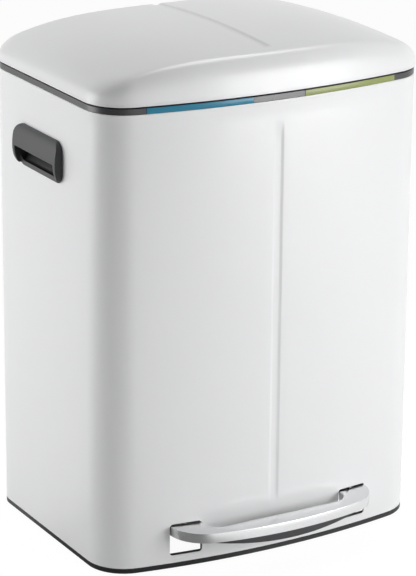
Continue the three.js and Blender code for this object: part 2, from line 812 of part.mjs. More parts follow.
const makeHingeLeaf = () => {
  const barrel = rodX(hingeEarRadius - 1, -leafHalfWidth, leafHalfWidth, hingeY, hingeZ);
  const slab = prism(roundedRect(-leafHalfWidth, leafHalfWidth, hingeY - leafReach, hingeY, 5),
    leafBottom, leafTop);
  const cheekInner = yokeThickness / 2 + 2;
  const cheekProfile = [
    new THREE.Vector2(crankPinY + crankCheekRadius, leafBottom + 1),
    new THREE.Vector2(crankPinY - crankCheekRadius - 4, leafBottom + 1),
    ...arcPoints(crankPinY, crankPinZ, crankCheekRadius, Math.PI, 2 * Math.PI, 10),
  ];
  const cheeks = [-1, 1].map((side) => {
    const edges = [side * cheekInner, side * (cheekInner + crankCheekThickness)];
    return prismX(cheekProfile, Math.min(...edges), Math.max(...edges));
  });
  const bores = [
    rodX(hingePinRadius + runningGap, -leafHalfWidth - 1, leafHalfWidth + 1, hingeY, hingeZ),
    rodX(crankPinRadius + seatGap, -leafHalfWidth, leafHalfWidth, crankPinY, crankPinZ),
  ];
  for (const side of [-1, 1]) {
    const x = side * leafScrewX;
    bores.push(rodZ(screwRadius + seatGap, leafBottom - 1, leafTop + 1, x, leafScrewY, 12));
    bores.push(rodZ(screwHeadRadius + seatGap, leafBottom - 1,
      leafBottom + screwHeadHeight + 2 * seatGap, x, leafScrewY, 16));
  }
  return cut(joined(barrel, slab, ...cheeks), ...bores);
};

const makeCrankPin = () => {
  const reach = yokeThickness / 2 + 2 + crankCheekThickness + 0.6;
  return turned([
    [0, -reach - 1.2],
    [crankPinRadius + 1.2, -reach - 1.2],
    [crankPinRadius + 1.2, -reach],
    [crankPinRadius, -reach],
    [crankPinRadius, reach + 0.8],
    [0, reach + 0.8],
  ]).rotateZ(-Math.PI / 2);
};

// ---------------------------------------------------------------- push rod

const yokeHalfHeight = crankPinRadius + yokeSlotPlay + yokeWall;
const yokeSleeveTop = crankPinZ - crankCheekRadius - 3 * runningGap - yokeSlotPlay;
const yokeSleeveBottom = yokeSleeveTop - rodSleeveLength;

const makeRodYoke = () => {
  const swayHalf = (crankRadius - crankReachAtRest) / 2;
  const slotHalfHeight = crankPinRadius + yokeSlotPlay;
  const slotHalfLength = swayHalf + crankPinRadius + yokeSlotPlay;
  const stadium = (halfLength, halfHeight) => roundedRect(rodY - halfLength, rodY + halfLength,
    crankPinZ - halfHeight, crankPinZ + halfHeight, halfHeight - 0.01, 6);
  const head = prismX(stadium(slotHalfLength + yokeWall, yokeHalfHeight),
    -yokeThickness / 2, yokeThickness / 2);
  const slot = prismX(stadium(slotHalfLength, slotHalfHeight), -yokeThickness, yokeThickness);
  const neck = block(-yokeThickness / 2, yokeThickness / 2, rodY - rodSleeveRadius + 1,
    rodY + rodSleeveRadius - 1, yokeSleeveTop - 1, crankPinZ - slotHalfHeight - 1);
  const sleeve = rodZ(rodSleeveRadius, yokeSleeveBottom, yokeSleeveTop, 0, rodY);
  const socket = rodZ(rodRadius + seatGap, yokeSleeveBottom - 1, yokeSleeveTop - 2, 0, rodY);
  return cut(joined(sleeve, neck, head), slot, socket);
};

const rodSocketFloor = padTop + 6;

const makePushRod = () =>
  rodZ(rodRadius, rodSocketFloor + seatGap, yokeSleeveTop - 2 - seatGap, 0, rodY);

const makeRodFoot = () => {
  const radius = rodSleeveRadius;
  const cap = toSolid(turned([
    [0, 0],
    [radius * 0.4, 0.35],
    [radius * 0.75, 1.4],
    [radius, 3.2],
    [radius, rodFootLength],
    [0, rodFootLength],
  ]).rotateX(Math.PI / 2).translate(0, rodY, padTop));
  return cut(cap, rodZ(rodRadius + seatGap, rodSocketFloor, padTop + rodFootLength + 1, 0, rodY));
};

const makeRodGuide = (z) => {
  const back = rearInside - seatGap;
  const front = rodY - rodSleeveRadius;
  const plate = roundedRect(-rodGuideHalfWidth, rodGuideHalfWidth, front, back, 2);
  const flange = block(-rodGuideHalfWidth, rodGuideHalfWidth, back - 2, back,
    z - rodGuideThickness, z + rodGuideThickness);
  return cut(joined(prism(plate, z - rodGuideThickness / 2, z + rodGuideThickness / 2), flange),
    rodZ(rodRadius + 2 * runningGap, z - 2 * rodGuideThickness, z + 2 * rodGuideThickness, 0,
      rodY));
};

// ---------------------------------------------------------------- damper

const makeDamperCylinder = () => {
  const top = damperBottom + damperLength;
  const barrel = toSolid(turned([
    [0, damperBottom],
    [damperRadius - 1.5, damperBottom],
    [damperRadius, damperBottom + 1.5],
    [damperRadius, top - 4],
    [damperRadius - 2, top],
    [0, top],
  ], damperSides).rotateX(Math.PI / 2).translate(damperX, rodY, 0));
  const bore = rodZ(damperRodRadius + runningGap, damperBottom - 1, top - 6, damperX, rodY);
  return cut(barrel, bore);
};

const makeDamperRod = () => turned([
  [0, 0],
  [damperFootRadius / 2, damperFootRadius / 10],
  [damperFootRadius, damperFootRadius / 2],
  [damperFootRadius, damperFootHeight],
  [damperRodRadius, damperFootHeight + seatGap],
  [damperRodRadius, damperRodLength],
  [0, damperRodLength],
]).rotateX(Math.PI / 2);

const makeDamperBracket = () => {
  const back = rearInside - seatGap;
  const z0 = damperBottom + damperLength / 2 - damperStrapHeight / 2;
  const z1 = z0 + damperStrapHeight;
  const outer = damperRadius + seatGap + damperStrapThickness;
  const strap = rodZ(outer, z0, z1, damperX, rodY, damperSides);
  const plate = block(damperX - outer - 8, damperX + outer + 8, back - 2, back, z0, z1);
  const web = block(damperX - 6, damperX + 6, rodY, back - 1, z0, z1);
  const clamp = joined(strap.intersect(block(0, halfWidth, 0, back, z0, z1)), plate, web);
  return cut(clamp, rodZ(damperRadius + seatGap, z0 - 1, z1 + 1, damperX, rodY,
    damperSides));
};

// ---------------------------------------------------------------- pedal and lever

const makePedalCover = () => {
  const geometry = new THREE.ExtrudeGeometry(shapeOf(pedalPlan(pedalBevel)), {
    depth: pedalSkirt - pedalBevel,
    bevelEnabled: true,
    bevelThickness: pedalBevel,
    bevelSize: pedalBevel,
    bevelSegments: 2,
  });
  geometry.translate(0, 0, pedalUnderside);
  const outside = toSolid(geometry).intersect(
    block(-halfWidth, halfWidth, pedalFrontY - 5, 0, pedalUnderside, pedalTop + 1));
  const hollow = prism(pedalPlan(pedalWall), pedalUnderside - 1, pedalTop - pedalWall);
  const rivetHoles = pedalRivetPlaces.map(({ x, y }) =>
    rodZ(rivetRadius + seatGap, pedalTop - 5, pedalTop + 1, x, y, 12));
  const armMouths = [-1, 1].map((side) => {
    const half = pedalArmWidth / 2 - pedalWall;
    const armEnd = -halfDepth + pedalArmReach;
    return block(side * leverX - half, side * leverX + half, armEnd - 5, armEnd + 1,
      pedalUnderside - 1, pedalTop - pedalWall);
  });
  return cut(outside, hollow, ...armMouths, ...rivetHoles);
};

const pedalRivetPlaces = [];
for (const side of [-1, 1]) {
  for (const [end, inward] of [['front', 12], ['rear', 28]]) {
    pedalRivetPlaces.push({
      name: `pedal_rivet_${side < 0 ? 'left' : 'right'}_${end}`,
      x: side * leverX,
      y: -halfDepth + inward,
    });
  }
}

// The dark core under the bar: its belly is a shallow arc that is deepest in the middle.
const makePedalCore = () => {
  const half = pedalBellyHalfWidth;
  const bellyRadius = (half ** 2 + pedalBelly ** 2) / (2 * pedalBelly);
  const centreZ = pedalUnderside - pedalBelly + bellyRadius;
  const reach = Math.asin(half / bellyRadius);
  const belly = [
    ...arcPoints(0, centreZ, bellyRadius, -Math.PI / 2 - reach, -Math.PI / 2 + reach, 14),
    new THREE.Vector2(half, pedalTop - pedalWall - seatGap),
    new THREE.Vector2(-half, pedalTop - pedalWall - seatGap),
  ];
  const footprint = prism(pedalPlan(pedalWall + seatGap), 0, pedalTop);
  return prismY(belly, pedalFrontY - 1, pedalBackY + 1).intersect(footprint);
};

const leverWebTop = pedalTop - pedalWall - seatGap;
const leverBossRadius = axleRadius + bushWall + 2 * runningGap + bossWall;

// Side view of an arm, drawn in by inset on its top and ends: a channel open below, with
// shallow flanges where it lies inside the cover.
const leverProfile = (inset) => {
  const front = -halfDepth - leverNose + inset;
  const bend = -halfDepth + pedalArmReach;
  const rear = rodY + leverCrossDepth / 2 - inset;
  const top = leverWebTop - inset;
  return [
    new THREE.Vector2(front, top - leverNoseDepth),
    new THREE.Vector2(bend, top - leverNoseDepth),
    new THREE.Vector2(axleY, axleZ - leverBossRadius * 0.7 - inset),
    new THREE.Vector2(rear, leverRearTop - inset - leverDepth),
    new THREE.Vector2(rear, leverRearTop - inset),
    new THREE.Vector2(rear - leverCrossDepth, leverRearTop - inset),
    new THREE.Vector2(axleY, axleZ + leverBossRadius * 0.8 - inset),
    new THREE.Vector2(bend, top),
    new THREE.Vector2(front, top),
  ];
};

const makeLeverArm = (side) => {
  const x0 = side * leverX - leverWidth / 2;
  const x1 = x0 + leverWidth;
  const channel = cut(prismX(leverProfile(0), x0, x1),
    prismX(leverProfile(leverSheet), x0 + leverSheet, x1 - leverSheet));
  const boss = rodX(leverBossRadius, x0, x1, axleY, axleZ);
  const bores = [rodX(axleRadius + bushWall + 2 * runningGap, x0 - 1, x1 + 1, axleY, axleZ)];
  for (const { x, y } of pedalRivetPlaces.filter((rivet) => rivet.x * side > 0)) {
    bores.push(rodZ(rivetRadius + seatGap, leverWebTop - leverSheet - 1, leverWebTop + 1, x, y));
  }
  return cut(joined(channel, boss), ...bores);
};

// The channel across the rear of the two arms, which lifts the push rod.
const makeLeverCross = () => {
  const rear = rodY + leverCrossDepth / 2;
  const front = rear - leverCrossDepth;
  const reach = leverX - leverWidth / 2 - seatGap;
  return cut(block(-reach, reach, front, rear, leverRearTop - leverDepth, leverRearTop),
    block(-reach - 1, reach + 1, front + leverSheet, rear - leverSheet,
      leverRearTop - leverDepth - 1, leverRearTop - leverSheet));
};

// A flanged nylon bush, its flange towards +X, made round the origin.
const makeBush = () => {
  const inner = axleRadius + runningGap;
  const outer = inner + bushWall;
  const half = leverWidth / 2 + runningGap;
  return turned([
    [inner, -half],
    [outer, -half],
    [outer, half],
    [outer + 2, half],
    [outer + 2, half + bushFlange],
    [inner, half + bushFlange],
    [inner, -half],
  ]).rotateZ(-Math.PI / 2);
};

// A rivet: its head above the origin, its shank down through the cover and the arm.
const makeRivet = (grip) => turned([
  [0, -grip],
  [rivetRadius, -grip],
  [rivetRadius, 0],
  [rivetHeadRadius, 0],
  [rivetHeadRadius - 1.4, rivetHeadHeight],
  [0, rivetHeadHeight],
], smallSides).rotateX(Math.PI / 2);

const axleHalf = bracketX + bracketThickness + clipWidth + 2.5;

const makeAxle = () => turned([
  [0, -axleHalf],
  [axleRadius - 0.8, -axleHalf],
  [axleRadius, -axleHalf + 0.8],
  [axleRadius, axleHalf - 0.8],
  [axleRadius - 0.8, axleHalf],
  [0, axleHalf],
]).rotateZ(-Math.PI / 2);

// A retaining ring pushed on the axle's end, outside its bracket.
const makeAxleClip = () => turned([
  [axleRadius + seatGap, 0],
  [clipRadius, 0],
  [clipRadius, clipWidth],
  [axleRadius + seatGap, clipWidth],
  [axleRadius + seatGap, 0],
]).rotateZ(-Math.PI / 2);

const bracketRivetX = bracketX + bracketThickness + bracketFoot / 2;

const makeAxleBracket = (side) => {
  const top = platformUnderside - seatGap;
  const ear = [
    ...arcPoints(axleY, axleZ, bracketHalfDepth, Math.PI, 2 * Math.PI, 12),
    new THREE.Vector2(axleY + bracketHalfDepth, top),
    new THREE.Vector2(axleY - bracketHalfDepth, top),
  ];
  const across = (near, far) => [Math.min(side * near, side * far), Math.max(side * near, side * far)];
  const [x0, x1] = across(bracketX, bracketX + bracketThickness);
  const [f0, f1] = across(bracketX, bracketX + bracketThickness + bracketFoot);
  const plate = prismX(ear, x0, x1);
  const foot = block(f0, f1, axleY - bracketHalfDepth, axleY + bracketHalfDepth,
    top - bracketThickness, top);
  return cut(joined(plate, foot),
    rodX(axleRadius + runningGap, -halfWidth, halfWidth, axleY, axleZ),
    rodZ(rivetRadius + seatGap, top - bracketThickness - 1, top + 1, side * bracketRivetX, axleY,
      12));
};

// ---------------------------------------------------------------- side handles

// A pocket with a hood over its upper half: fingers go in below and hook up behind the hood.
// A round cheek closes each end of the hood and runs on down to the rim.
const makeSideHandle = (side) => {
  const face = halfWidth + seatGap;
  const back = halfWidth - handlePocketDepth;
  const top = handleBottom + handleHeight;
  const mouthTop = handleBottom + handleMouthHeight;
  const hoodOuter = face + handleHoodProud;
  const half = handleLength / 2;
  const mirrored = (points) => points.map((p) => new THREE.Vector2(side * p.x, p.y));
  const hoodCurve = (inset) => {
    const reach = hoodOuter - inset - face;
    const rise = top - inset - mouthTop;
    const points = [];
    for (let i = 0; i <= hoodSteps; i += 1) {
      const angle = i / hoodSteps * Math.PI / 2;
      points.push(new THREE.Vector2(face + reach * Math.cos(angle) ** 0.8,
        mouthTop + rise * Math.sin(angle)));
    }
    return points;
  };
  const hood = [
    new THREE.Vector2(face, mouthTop),
    ...hoodCurve(0),
    new THREE.Vector2(face, top),
  ];
  const cheek = [new THREE.Vector2(face, mouthTop + 1), new THREE.Vector2(face, handleBottom)];
  for (let i = 1; i <= cheekSteps; i += 1) {
    const angle = i / cheekSteps * Math.PI / 2;
    cheek.push(new THREE.Vector2(face + handleHoodProud * Math.sin(angle),
      mouthTop - handleMouthHeight * Math.cos(angle)));
  }
  cheek.push(new THREE.Vector2(hoodOuter, mouthTop + 1));
  const cavity = [
    new THREE.Vector2(hoodOuter + 1, handleBottom + handleRim),
    new THREE.Vector2(hoodOuter + 1, mouthTop - 1),
    new THREE.Vector2(hoodOuter - handleWall, mouthTop - 1),
    ...hoodCurve(handleWall),
    new THREE.Vector2(back + handleWall, top - handleRim - handleWall),
    new THREE.Vector2(back + handleWall, handleBottom + handleRim + handleWall + 9),
    new THREE.Vector2(face - 4, handleBottom + handleRim + handleWall),
    new THREE.Vector2(face + 2, handleBottom + handleRim),
  ];
  const y0 = handleCentreY - half;
  const y1 = handleCentreY + half;
  const acrossX = (near, far) =>
    [Math.min(side * near, side * far), Math.max(side * near, side * far)];
  const pocket = handleHole(handleRim + seatGap, ...acrossX(back, face + 0.5));
  const rim = handleHole(0, ...acrossX(face, face + handleRimThickness));
  const trim = handleHole(0, ...acrossX(0, hoodOuter + 2));
  const clear = handleHole(handleRim + handleWall, ...acrossX(back, hoodOuter + 2));
  const cheekWidth = handleRim + handleWall;
  const cheeks = [[y0, y0 + cheekWidth], [y1 - cheekWidth, y1]]
    .map(([near, far]) => prismY(mirrored(cheek), near, far));
  const hoodSolid = joined(prismY(mirrored(hood), y0, y1), ...cheeks).intersect(trim);
  return cut(joined(pocket, rim, hoodSolid),
    prismY(mirrored(cavity), y0, y1).intersect(clear));
};

// ---------------------------------------------------------------- buckets and bails

// Plan of one bucket, drawn in by inset.
const bucketPlan = (side, inset) => {
  const [x0, x1] = side < 0
    ? [-bucketGap - bucketWidth, -bucketGap] : [bucketGap, bucketGap + bucketWidth];
  return roundedRect(x0 + inset, x1 - inset, -bucketFront + inset, bucketRear - inset,
    bucketCornerRadius - inset * 0.6, bucketCornerSteps);
};

const bailZ = bucketRimTop + bailHeight;
const bucketFloorZ = platformTop + seatGap;

const bailEdges = (side) => {
  const inner = side * (bucketGap - bailArmInset);
  const outer = side * (bucketGap + bucketWidth + bailArmInset);
  return side < 0 ? [outer, inner] : [inner, outer];
};

const makeBucket = (side) => {
  const ring = (inset, z) => at(bucketPlan(side, inset), z);
  const lipUnder = bucketRimTop - bucketFloor;
  const tub = skin([
    ring(bucketTaper + 3, bucketFloorZ),
    ring(bucketTaper, bucketFloorZ + 4),
    ring(0, lipUnder),
    ring(-bucketLip + bucketLipWall, lipUnder),
    ring(-bucketLip + bucketLipWall, bucketRimTop - bucketLipDrop),
    ring(-bucketLip, bucketRimTop - bucketLipDrop),
    ring(-bucketLip, bucketRimTop - 1),
    ring(-bucketLip + 1, bucketRimTop),
    ring(bucketWall, bucketRimTop),
    ring(bucketTaper + bucketWall, bucketFloorZ + 6),
    ring(bucketTaper + bucketWall + 3, bucketFloorZ + bucketFloor),
  ]);
  const [left, right] = bailEdges(side);
  const lugs = [left, right].map((x, index) => {
    const outward = index === 0 ? -1 : 1;
    const near = x + outward * (bailRadius + 0.4);
    const far = near + outward * bailLugThickness;
    const outline = [
      new THREE.Vector2(-bailLugHalfDepth, lipUnder + 0.5),
      new THREE.Vector2(bailLugHalfDepth, lipUnder + 0.5),
      ...arcPoints(0, bucketRimTop + bailLugHeight - bailLugHalfDepth, bailLugHalfDepth,
        0, Math.PI, 8),
    ];
    return prismX(outline, Math.min(near, far), Math.max(near, far));
  });
  const bores = rodX(bailRadius + runningGap, left - 10, right + 10, 0, bailZ);
  const lugBores = bores.intersect(block(left - 10, right + 10, -10, 10, bucketRimTop, bailZ + 10));
  return cut(joined(tub, ...lugs), lugBores);
};

// The wire bail lies on the rim's sides and crosses the mouth near the front.
const makeBail = (side) => {
  const [left, right] = bailEdges(side);
  const end = bailRadius + 0.4 + bailLugThickness + 0.6;
  const route = new THREE.CurvePath();
  const point = (x, y) => new THREE.Vector3(x, y, bailZ);
  const turn = bailRadius + 1.2;
  const corner = bailCornerRadius;
  route.add(new THREE.LineCurve3(point(left - end, 0), point(left - turn, 0)));
  route.add(new THREE.QuadraticBezierCurve3(point(left - turn, 0), point(left, 0),
    point(left, -turn)));
  route.add(new THREE.LineCurve3(point(left, -turn), point(left, -bailReach + corner)));
  route.add(new THREE.QuadraticBezierCurve3(point(left, -bailReach + corner),
    point(left, -bailReach), point(left + corner, -bailReach)));
  route.add(new THREE.LineCurve3(point(left + corner, -bailReach),
    point(right - corner, -bailReach)));
  route.add(new THREE.QuadraticBezierCurve3(point(right - corner, -bailReach),
    point(right, -bailReach), point(right, -bailReach + corner)));
  route.add(new THREE.LineCurve3(point(right, -bailReach + corner), point(right, -turn)));
  route.add(new THREE.QuadraticBezierCurve3(point(right, -turn), point(right, 0),
    point(right + turn, 0)));
  route.add(new THREE.LineCurve3(point(right + turn, 0), point(right + end, 0)));
  return skin(sweptRings(route));
};

// Circles of the wire's section set square to the flat route that it follows.
const sweptRings = (route) => {
  const sides = wireSides;
  const rings = [];
  const up = new THREE.Vector3(0, 0, 1);
  route.curves.forEach((curve, index) => {
    const isLine = curve instanceof THREE.LineCurve3;
    const steps = isLine ? 1 : 4;
    const first = index === 0 ? 0 : 1;
    for (let i = first; i <= steps; i += 1) {
      const centre = curve.getPoint(i / steps);
      const tangent = curve.getTangent(i / steps).normalize();
      const across = new THREE.Vector3().crossVectors(up, tangent);
      const ring = [];
      for (let k = 0; k < sides; k += 1) {
        const angle = 2 * Math.PI * k / sides;
        ring.push(centre.clone()
          .addScaledVector(across, bailRadius * Math.cos(angle))
          .addScaledVector(up, bailRadius * Math.sin(angle)));
      }
      rings.push(ring);
    }
  });
  return rings;
};

const makeGrip = (side) => {
  const [left, right] = bailEdges(side);
  const middle = (left + right) / 2;
  const inner = bailRadius + seatGap;
  return turned([
    [inner, -gripHalfLength],
    [gripRadius - 1, -gripHalfLength],
    [gripRadius, -gripHalfLength + 2],
    [gripRadius - 0.7, 0],
    [gripRadius, gripHalfLength - 2],
    [gripRadius - 1, gripHalfLength],
    [inner, gripHalfLength],
    [inner, -gripHalfLength],
  ]).rotateZ(-Math.PI / 2).translate(middle, -bailReach, bailZ);
};

// ---------------------------------------------------------------- assembly

const bin = new THREE.Group();
bin.position.y = -(pedalFrontY + hingeY + hingeEarRadius) / 2;

const place = (name, piece, material, x = 0, y = 0, z = 0) => {
  const geometry = piece.isBufferGeometry ? piece : toGeometry(piece);
  const mesh = new THREE.Mesh(geometry, material);
  mesh.name = name;
  mesh.position.set(x, y, z);
  bin.add(mesh);
  return mesh;
};

place('body_shell', makeBodyShell(), whitePaint);
place('base_ring', makeBaseRing(), blackPlastic);
for (const { name, x, y } of footPlaces) place(name, makeFoot(), blackRubber, x, y);
place('bucket_platform', makePlatform(), blackPlastic);
place('top_ring', makeTopRing(), blackPlastic);
place('lid_shell', makeLidShell(), whitePaint);
place('lid_liner', makeLidLiner(), blackPlastic);
place('hinge_block', makeHingeBlock(), blackPlastic);
place('hinge_pin', makeHingePin(), zincSteel, 0, hingeY, hingeZ);
place('hinge_leaf', makeHingeLeaf(), blackPlastic);
place('crank_pin', makeCrankPin(), zincSteel, 0, crankPinY, crankPinZ);
place('push_rod', makePushRod(), zincSteel);
place('rod_yoke', makeRodYoke(), nylon);
place('rod_foot', makeRodFoot(), nylon);
place('rod_guide_lower', makeRodGuide(rodGuideHeights.lower), blackPlastic);
place('rod_guide_upper', makeRodGuide(rodGuideHeights.upper), blackPlastic);
place('damper_cylinder', makeDamperCylinder(), darkPlastic);
place('damper_rod', makeDamperRod(), zincSteel, damperX, rodY, padTop);
place('damper_bracket', makeDamperBracket(), zincSteel);
place('pedal_cover', makePedalCover(), stainless);
place('pedal_core', makePedalCore(), darkPlastic);
place('lever_cross', makeLeverCross(), zincSteel);
place('pedal_axle', makeAxle(), zincSteel, 0, axleY, axleZ);
for (const { name, x, y } of pedalRivetPlaces) {
  place(name, makeRivet(pedalWall + leverSheet + 2 * seatGap), zincSteel, x, y,
    pedalTop + seatGap);
}

for (const side of [-1, 1]) {
  const hand = side < 0 ? 'left' : 'right';
  place(`marker_${hand}`, makeMarker(side), side < 0 ? bluePlastic : greenPlastic);
  place(`side_handle_${hand}`, makeSideHandle(side), blackPlastic);
  place(`lever_arm_${hand}`, makeLeverArm(side), zincSteel);
  place(`axle_bracket_${hand}`, makeAxleBracket(side), zincSteel);
  const bracketRivet = place(`axle_bracket_rivet_${hand}`,
    makeRivet(platformThickness + bracketThickness), zincSteel, side * bracketRivetX, axleY,
    platformUnderside - bracketThickness - 2 * seatGap);
  bracketRivet.rotation.x = Math.PI;
  const bush = place(`pedal_bush_${hand}`, makeBush(), nylon, side * leverX, axleY, axleZ);
  if (side < 0) bush.rotation.z = Math.PI;
  const clip = place(`axle_clip_${hand}`, makeAxleClip(), zincSteel,
    side * (bracketX + bracketThickness + seatGap), axleY, axleZ);
  if (side < 0) clip.rotation.z = Math.PI;
  place(`lid_buffer_${hand}`, makeBuffer(), blackRubber, side * bufferX,
    frontFaceY(bufferX) + (ringBand + ringLedge) / 2, ringTop + seatGap);
  const hingeScrew = place(`hinge_screw_${hand}`, makeScrew(12), zincSteel, side * hingeScrewX,
    halfDepth + hingePlateThickness + 2 * seatGap, hingeScrewZ);
  hingeScrew.rotation.x = Math.PI / 2;
  place(`leaf_screw_${hand}`, makeScrew(15), zincSteel, side * leafScrewX, leafScrewY,
    leafBottom + screwHeadHeight + seatGap);
  place(`bucket_${hand}`, makeBucket(side), bucketPlastic);
  place(`bail_${hand}`, makeBail(side), zincSteel);
  place(`bail_grip_${hand}`, makeGrip(side), darkPlastic);
}

export default bin;
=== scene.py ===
# Double recycling bin: a bowed steel body on a black base, a lid with a groove down its
# middle, two buckets inside, and one pedal across the front. Metres, +Z up, pedal towards -Y.

import json
import math
import bmesh
import bpy
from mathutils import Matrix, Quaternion, Vector

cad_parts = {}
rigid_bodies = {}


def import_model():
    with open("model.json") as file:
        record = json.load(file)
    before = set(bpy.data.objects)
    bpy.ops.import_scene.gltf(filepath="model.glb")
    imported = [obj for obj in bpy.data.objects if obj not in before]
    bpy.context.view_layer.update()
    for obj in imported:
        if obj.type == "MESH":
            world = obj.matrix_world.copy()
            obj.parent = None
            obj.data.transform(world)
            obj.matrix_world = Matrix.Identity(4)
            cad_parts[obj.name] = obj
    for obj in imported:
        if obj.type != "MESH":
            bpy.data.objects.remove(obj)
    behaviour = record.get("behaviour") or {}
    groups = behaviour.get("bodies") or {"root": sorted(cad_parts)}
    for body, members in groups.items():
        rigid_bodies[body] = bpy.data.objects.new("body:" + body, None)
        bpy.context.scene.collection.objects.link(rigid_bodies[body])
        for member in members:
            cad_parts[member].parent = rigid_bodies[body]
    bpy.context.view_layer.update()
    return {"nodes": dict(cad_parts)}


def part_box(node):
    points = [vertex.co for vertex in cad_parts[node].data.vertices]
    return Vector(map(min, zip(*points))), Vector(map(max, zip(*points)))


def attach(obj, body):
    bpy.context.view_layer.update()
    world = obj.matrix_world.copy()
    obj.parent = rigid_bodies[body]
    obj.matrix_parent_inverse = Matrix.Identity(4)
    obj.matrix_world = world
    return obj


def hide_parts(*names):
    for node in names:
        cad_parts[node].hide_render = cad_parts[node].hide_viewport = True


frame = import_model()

nodes = frame["nodes"]

# ---------------------------------------------------------------- camera
# A long lens from the front left, a little above the lid.

eye = Vector((-1.5849, -2.7326, 1.3442))
aim = Vector((-0.0014, 0.0168, 0.2868))
camera_roll = 0.0082
lens_length = 171.007
camera_data = bpy.data.cameras.new("camera")
camera_data.sensor_width = 36
camera_data.lens = lens_length
camera = bpy.data.objects.new("camera", camera_data)
bpy.context.scene.collection.objects.link(camera)
camera.rotation_mode = 'QUATERNION'
camera.location = eye
camera.rotation_quaternion = (aim - eye).to_track_quat('-Z', 'Y') @ Quaternion((0, 0, 1), camera_roll)
bpy.context.scene.camera = camera

# ---------------------------------------------------------------- studio
# A pale floor that runs out to white, two softboxes low at the sides and one above. The
# corner between the side boxes stays darker, as in a light tent.


def new_material(name):
    """A material with nothing but its output, and that output."""
    material = bpy.data.materials.new(name)
    material.use_nodes = True
    material.node_tree.nodes.clear()
    output = material.node_tree.nodes.new("ShaderNodeOutputMaterial")
    return material, output


def add_node(tree, kind, operation=None, values=()):
    """A node, with its operation and the values of its inputs by name or number."""
    node = tree.nodes.new(kind)
    if operation:
        node.operation = operation
    for socket, value in dict(values).items():
        node.inputs[socket].default_value = value
    return node


dark_side = Vector((-0.88, -0.475, 0))


def backdrop(tree, place):
    """Two values: 1 for a ray that sees the backdrop and 0 for one that gathers its light, and how
    bright it is, which in reflections falls towards the dark side. Place is a point on the
    backdrop, or a direction."""
    def math_node(operation, a, b):
        node = add_node(tree, "ShaderNodeMath", operation)
        for socket, value in zip(node.inputs, (a, b)):
            if isinstance(value, float):
                socket.default_value = value
            else:
                tree.links.new(value, socket)
        return node.outputs[0]

    path = tree.nodes.new("ShaderNodeLightPath")
    flat = add_node(tree, "ShaderNodeVectorMath", 'MULTIPLY', {1: (1, 1, 0)})
    tree.links.new(place, flat.inputs[0])
    unit = add_node(tree, "ShaderNodeVectorMath", 'NORMALIZE')
    tree.links.new(flat.outputs[0], unit.inputs[0])
    towards = add_node(tree, "ShaderNodeVectorMath", 'DOT_PRODUCT', {1: dark_side})
    tree.links.new(unit.outputs[0], towards.inputs[0])
    shade = add_node(tree, "ShaderNodeMapRange", None,
                     {"From Min": 0.55, "From Max": 0.93, "To Min": 0.0, "To Max": 0.80})
    shade.interpolation_type = 'SMOOTHSTEP'
    tree.links.new(towards.outputs["Value"], shade.inputs["Value"])
    glossy = path.outputs["Is Glossy Ray"]
    seen = math_node('MAXIMUM', path.outputs["Is Camera Ray"], path.outputs["Is Transmission Ray"])
    lost = math_node('MULTIPLY', glossy, shade.outputs[0])
    return math_node('MAXIMUM', seen, glossy), math_node('SUBTRACT', 1.0, lost)


floor_colour = (0.82, 0.82, 0.82, 1)
floor_white_share = 0.9
floor_white = 1.06
floor_size = 30
bpy.ops.object.select_all(action='DESELECT')
bpy.ops.mesh.primitive_plane_add(size=floor_size)
floor = bpy.context.object
floor.name = "floor"
floor_material, output = new_material("pale floor")
tree = floor_material.node_tree
matt = add_node(tree, "ShaderNodeBsdfDiffuse", None, {"Color": floor_colour})
white = tree.nodes.new("ShaderNodeEmission")
share = add_node(tree, "ShaderNodeMath", 'MULTIPLY', {1: floor_white_share})
blend = tree.nodes.new("ShaderNodeMixShader")
brightness = add_node(tree, "ShaderNodeMath", 'MULTIPLY', {1: floor_white})
floor_place = tree.nodes.new("ShaderNodeTexCoord")
seen, bright = backdrop(tree, floor_place.outputs["Object"])
tree.links.new(seen, share.inputs[0])
tree.links.new(bright, brightness.inputs[0])
tree.links.new(brightness.outputs[0], white.inputs["Strength"])
tree.links.new(share.outputs[0], blend.inputs["Fac"])
tree.links.new(matt.outputs[0], blend.inputs[1])
tree.links.new(white.outputs[0], blend.inputs[2])
tree.links.new(blend.outputs[0], output.inputs["Surface"])
floor.data.materials.append(floor_material)

room_light = 0.17
world = bpy.data.worlds.new("light tent")
bpy.context.scene.world = world
world.use_nodes = True
tree = world.node_tree
sky = tree.nodes["Background"]
strength = add_node(tree, "ShaderNodeMapRange", None, {"To Min": room_light})
room_place = tree.nodes.new("ShaderNodeTexCoord")
seen, bright = backdrop(tree, room_place.outputs["Generated"])
tree.links.new(seen, strength.inputs["Value"])
tree.links.new(bright, strength.inputs["To Max"])
tree.links.new(strength.outputs[0], sky.inputs["Strength"])
sky.inputs["Color"].default_value = (1, 1, 1, 1)


def softbox(name, place, towards, size, power):
    lamp = bpy.data.lights.new(name, 'AREA')
    lamp.size = size
    lamp.energy = power
    holder = bpy.data.objects.new(name, lamp)
    bpy.context.scene.collection.objects.link(holder)
    holder.location = place
    holder.rotation_euler = (Vector(towards) - Vector(place)).to_track_quat('-Z', 'Y').to_euler()
    holder.visible_camera = False


softbox("left box", (-1.3, 0.55, 0.6), (-0.2, 0.0, 0.3), 0.9, 9.9)
softbox("right box", (0.95, -1.6, 0.5), (0.05, -0.1, 0.3), 0.9, 20.5)
softbox("top box", (0.55, 0.35, 2.0), (0.0, 0.0, 0.55), 0.8, 11.0)
bpy.context.scene.view_settings.view_transform = 'Standard'

# ---------------------------------------------------------------- body
# The tube of the bin: sheet steel bent round to a bowed front and welded at the back, with a
# stiffening groove pressed up the front. Two slots let the pedal's arms in, two holes take
# the handles. Powder coated white.

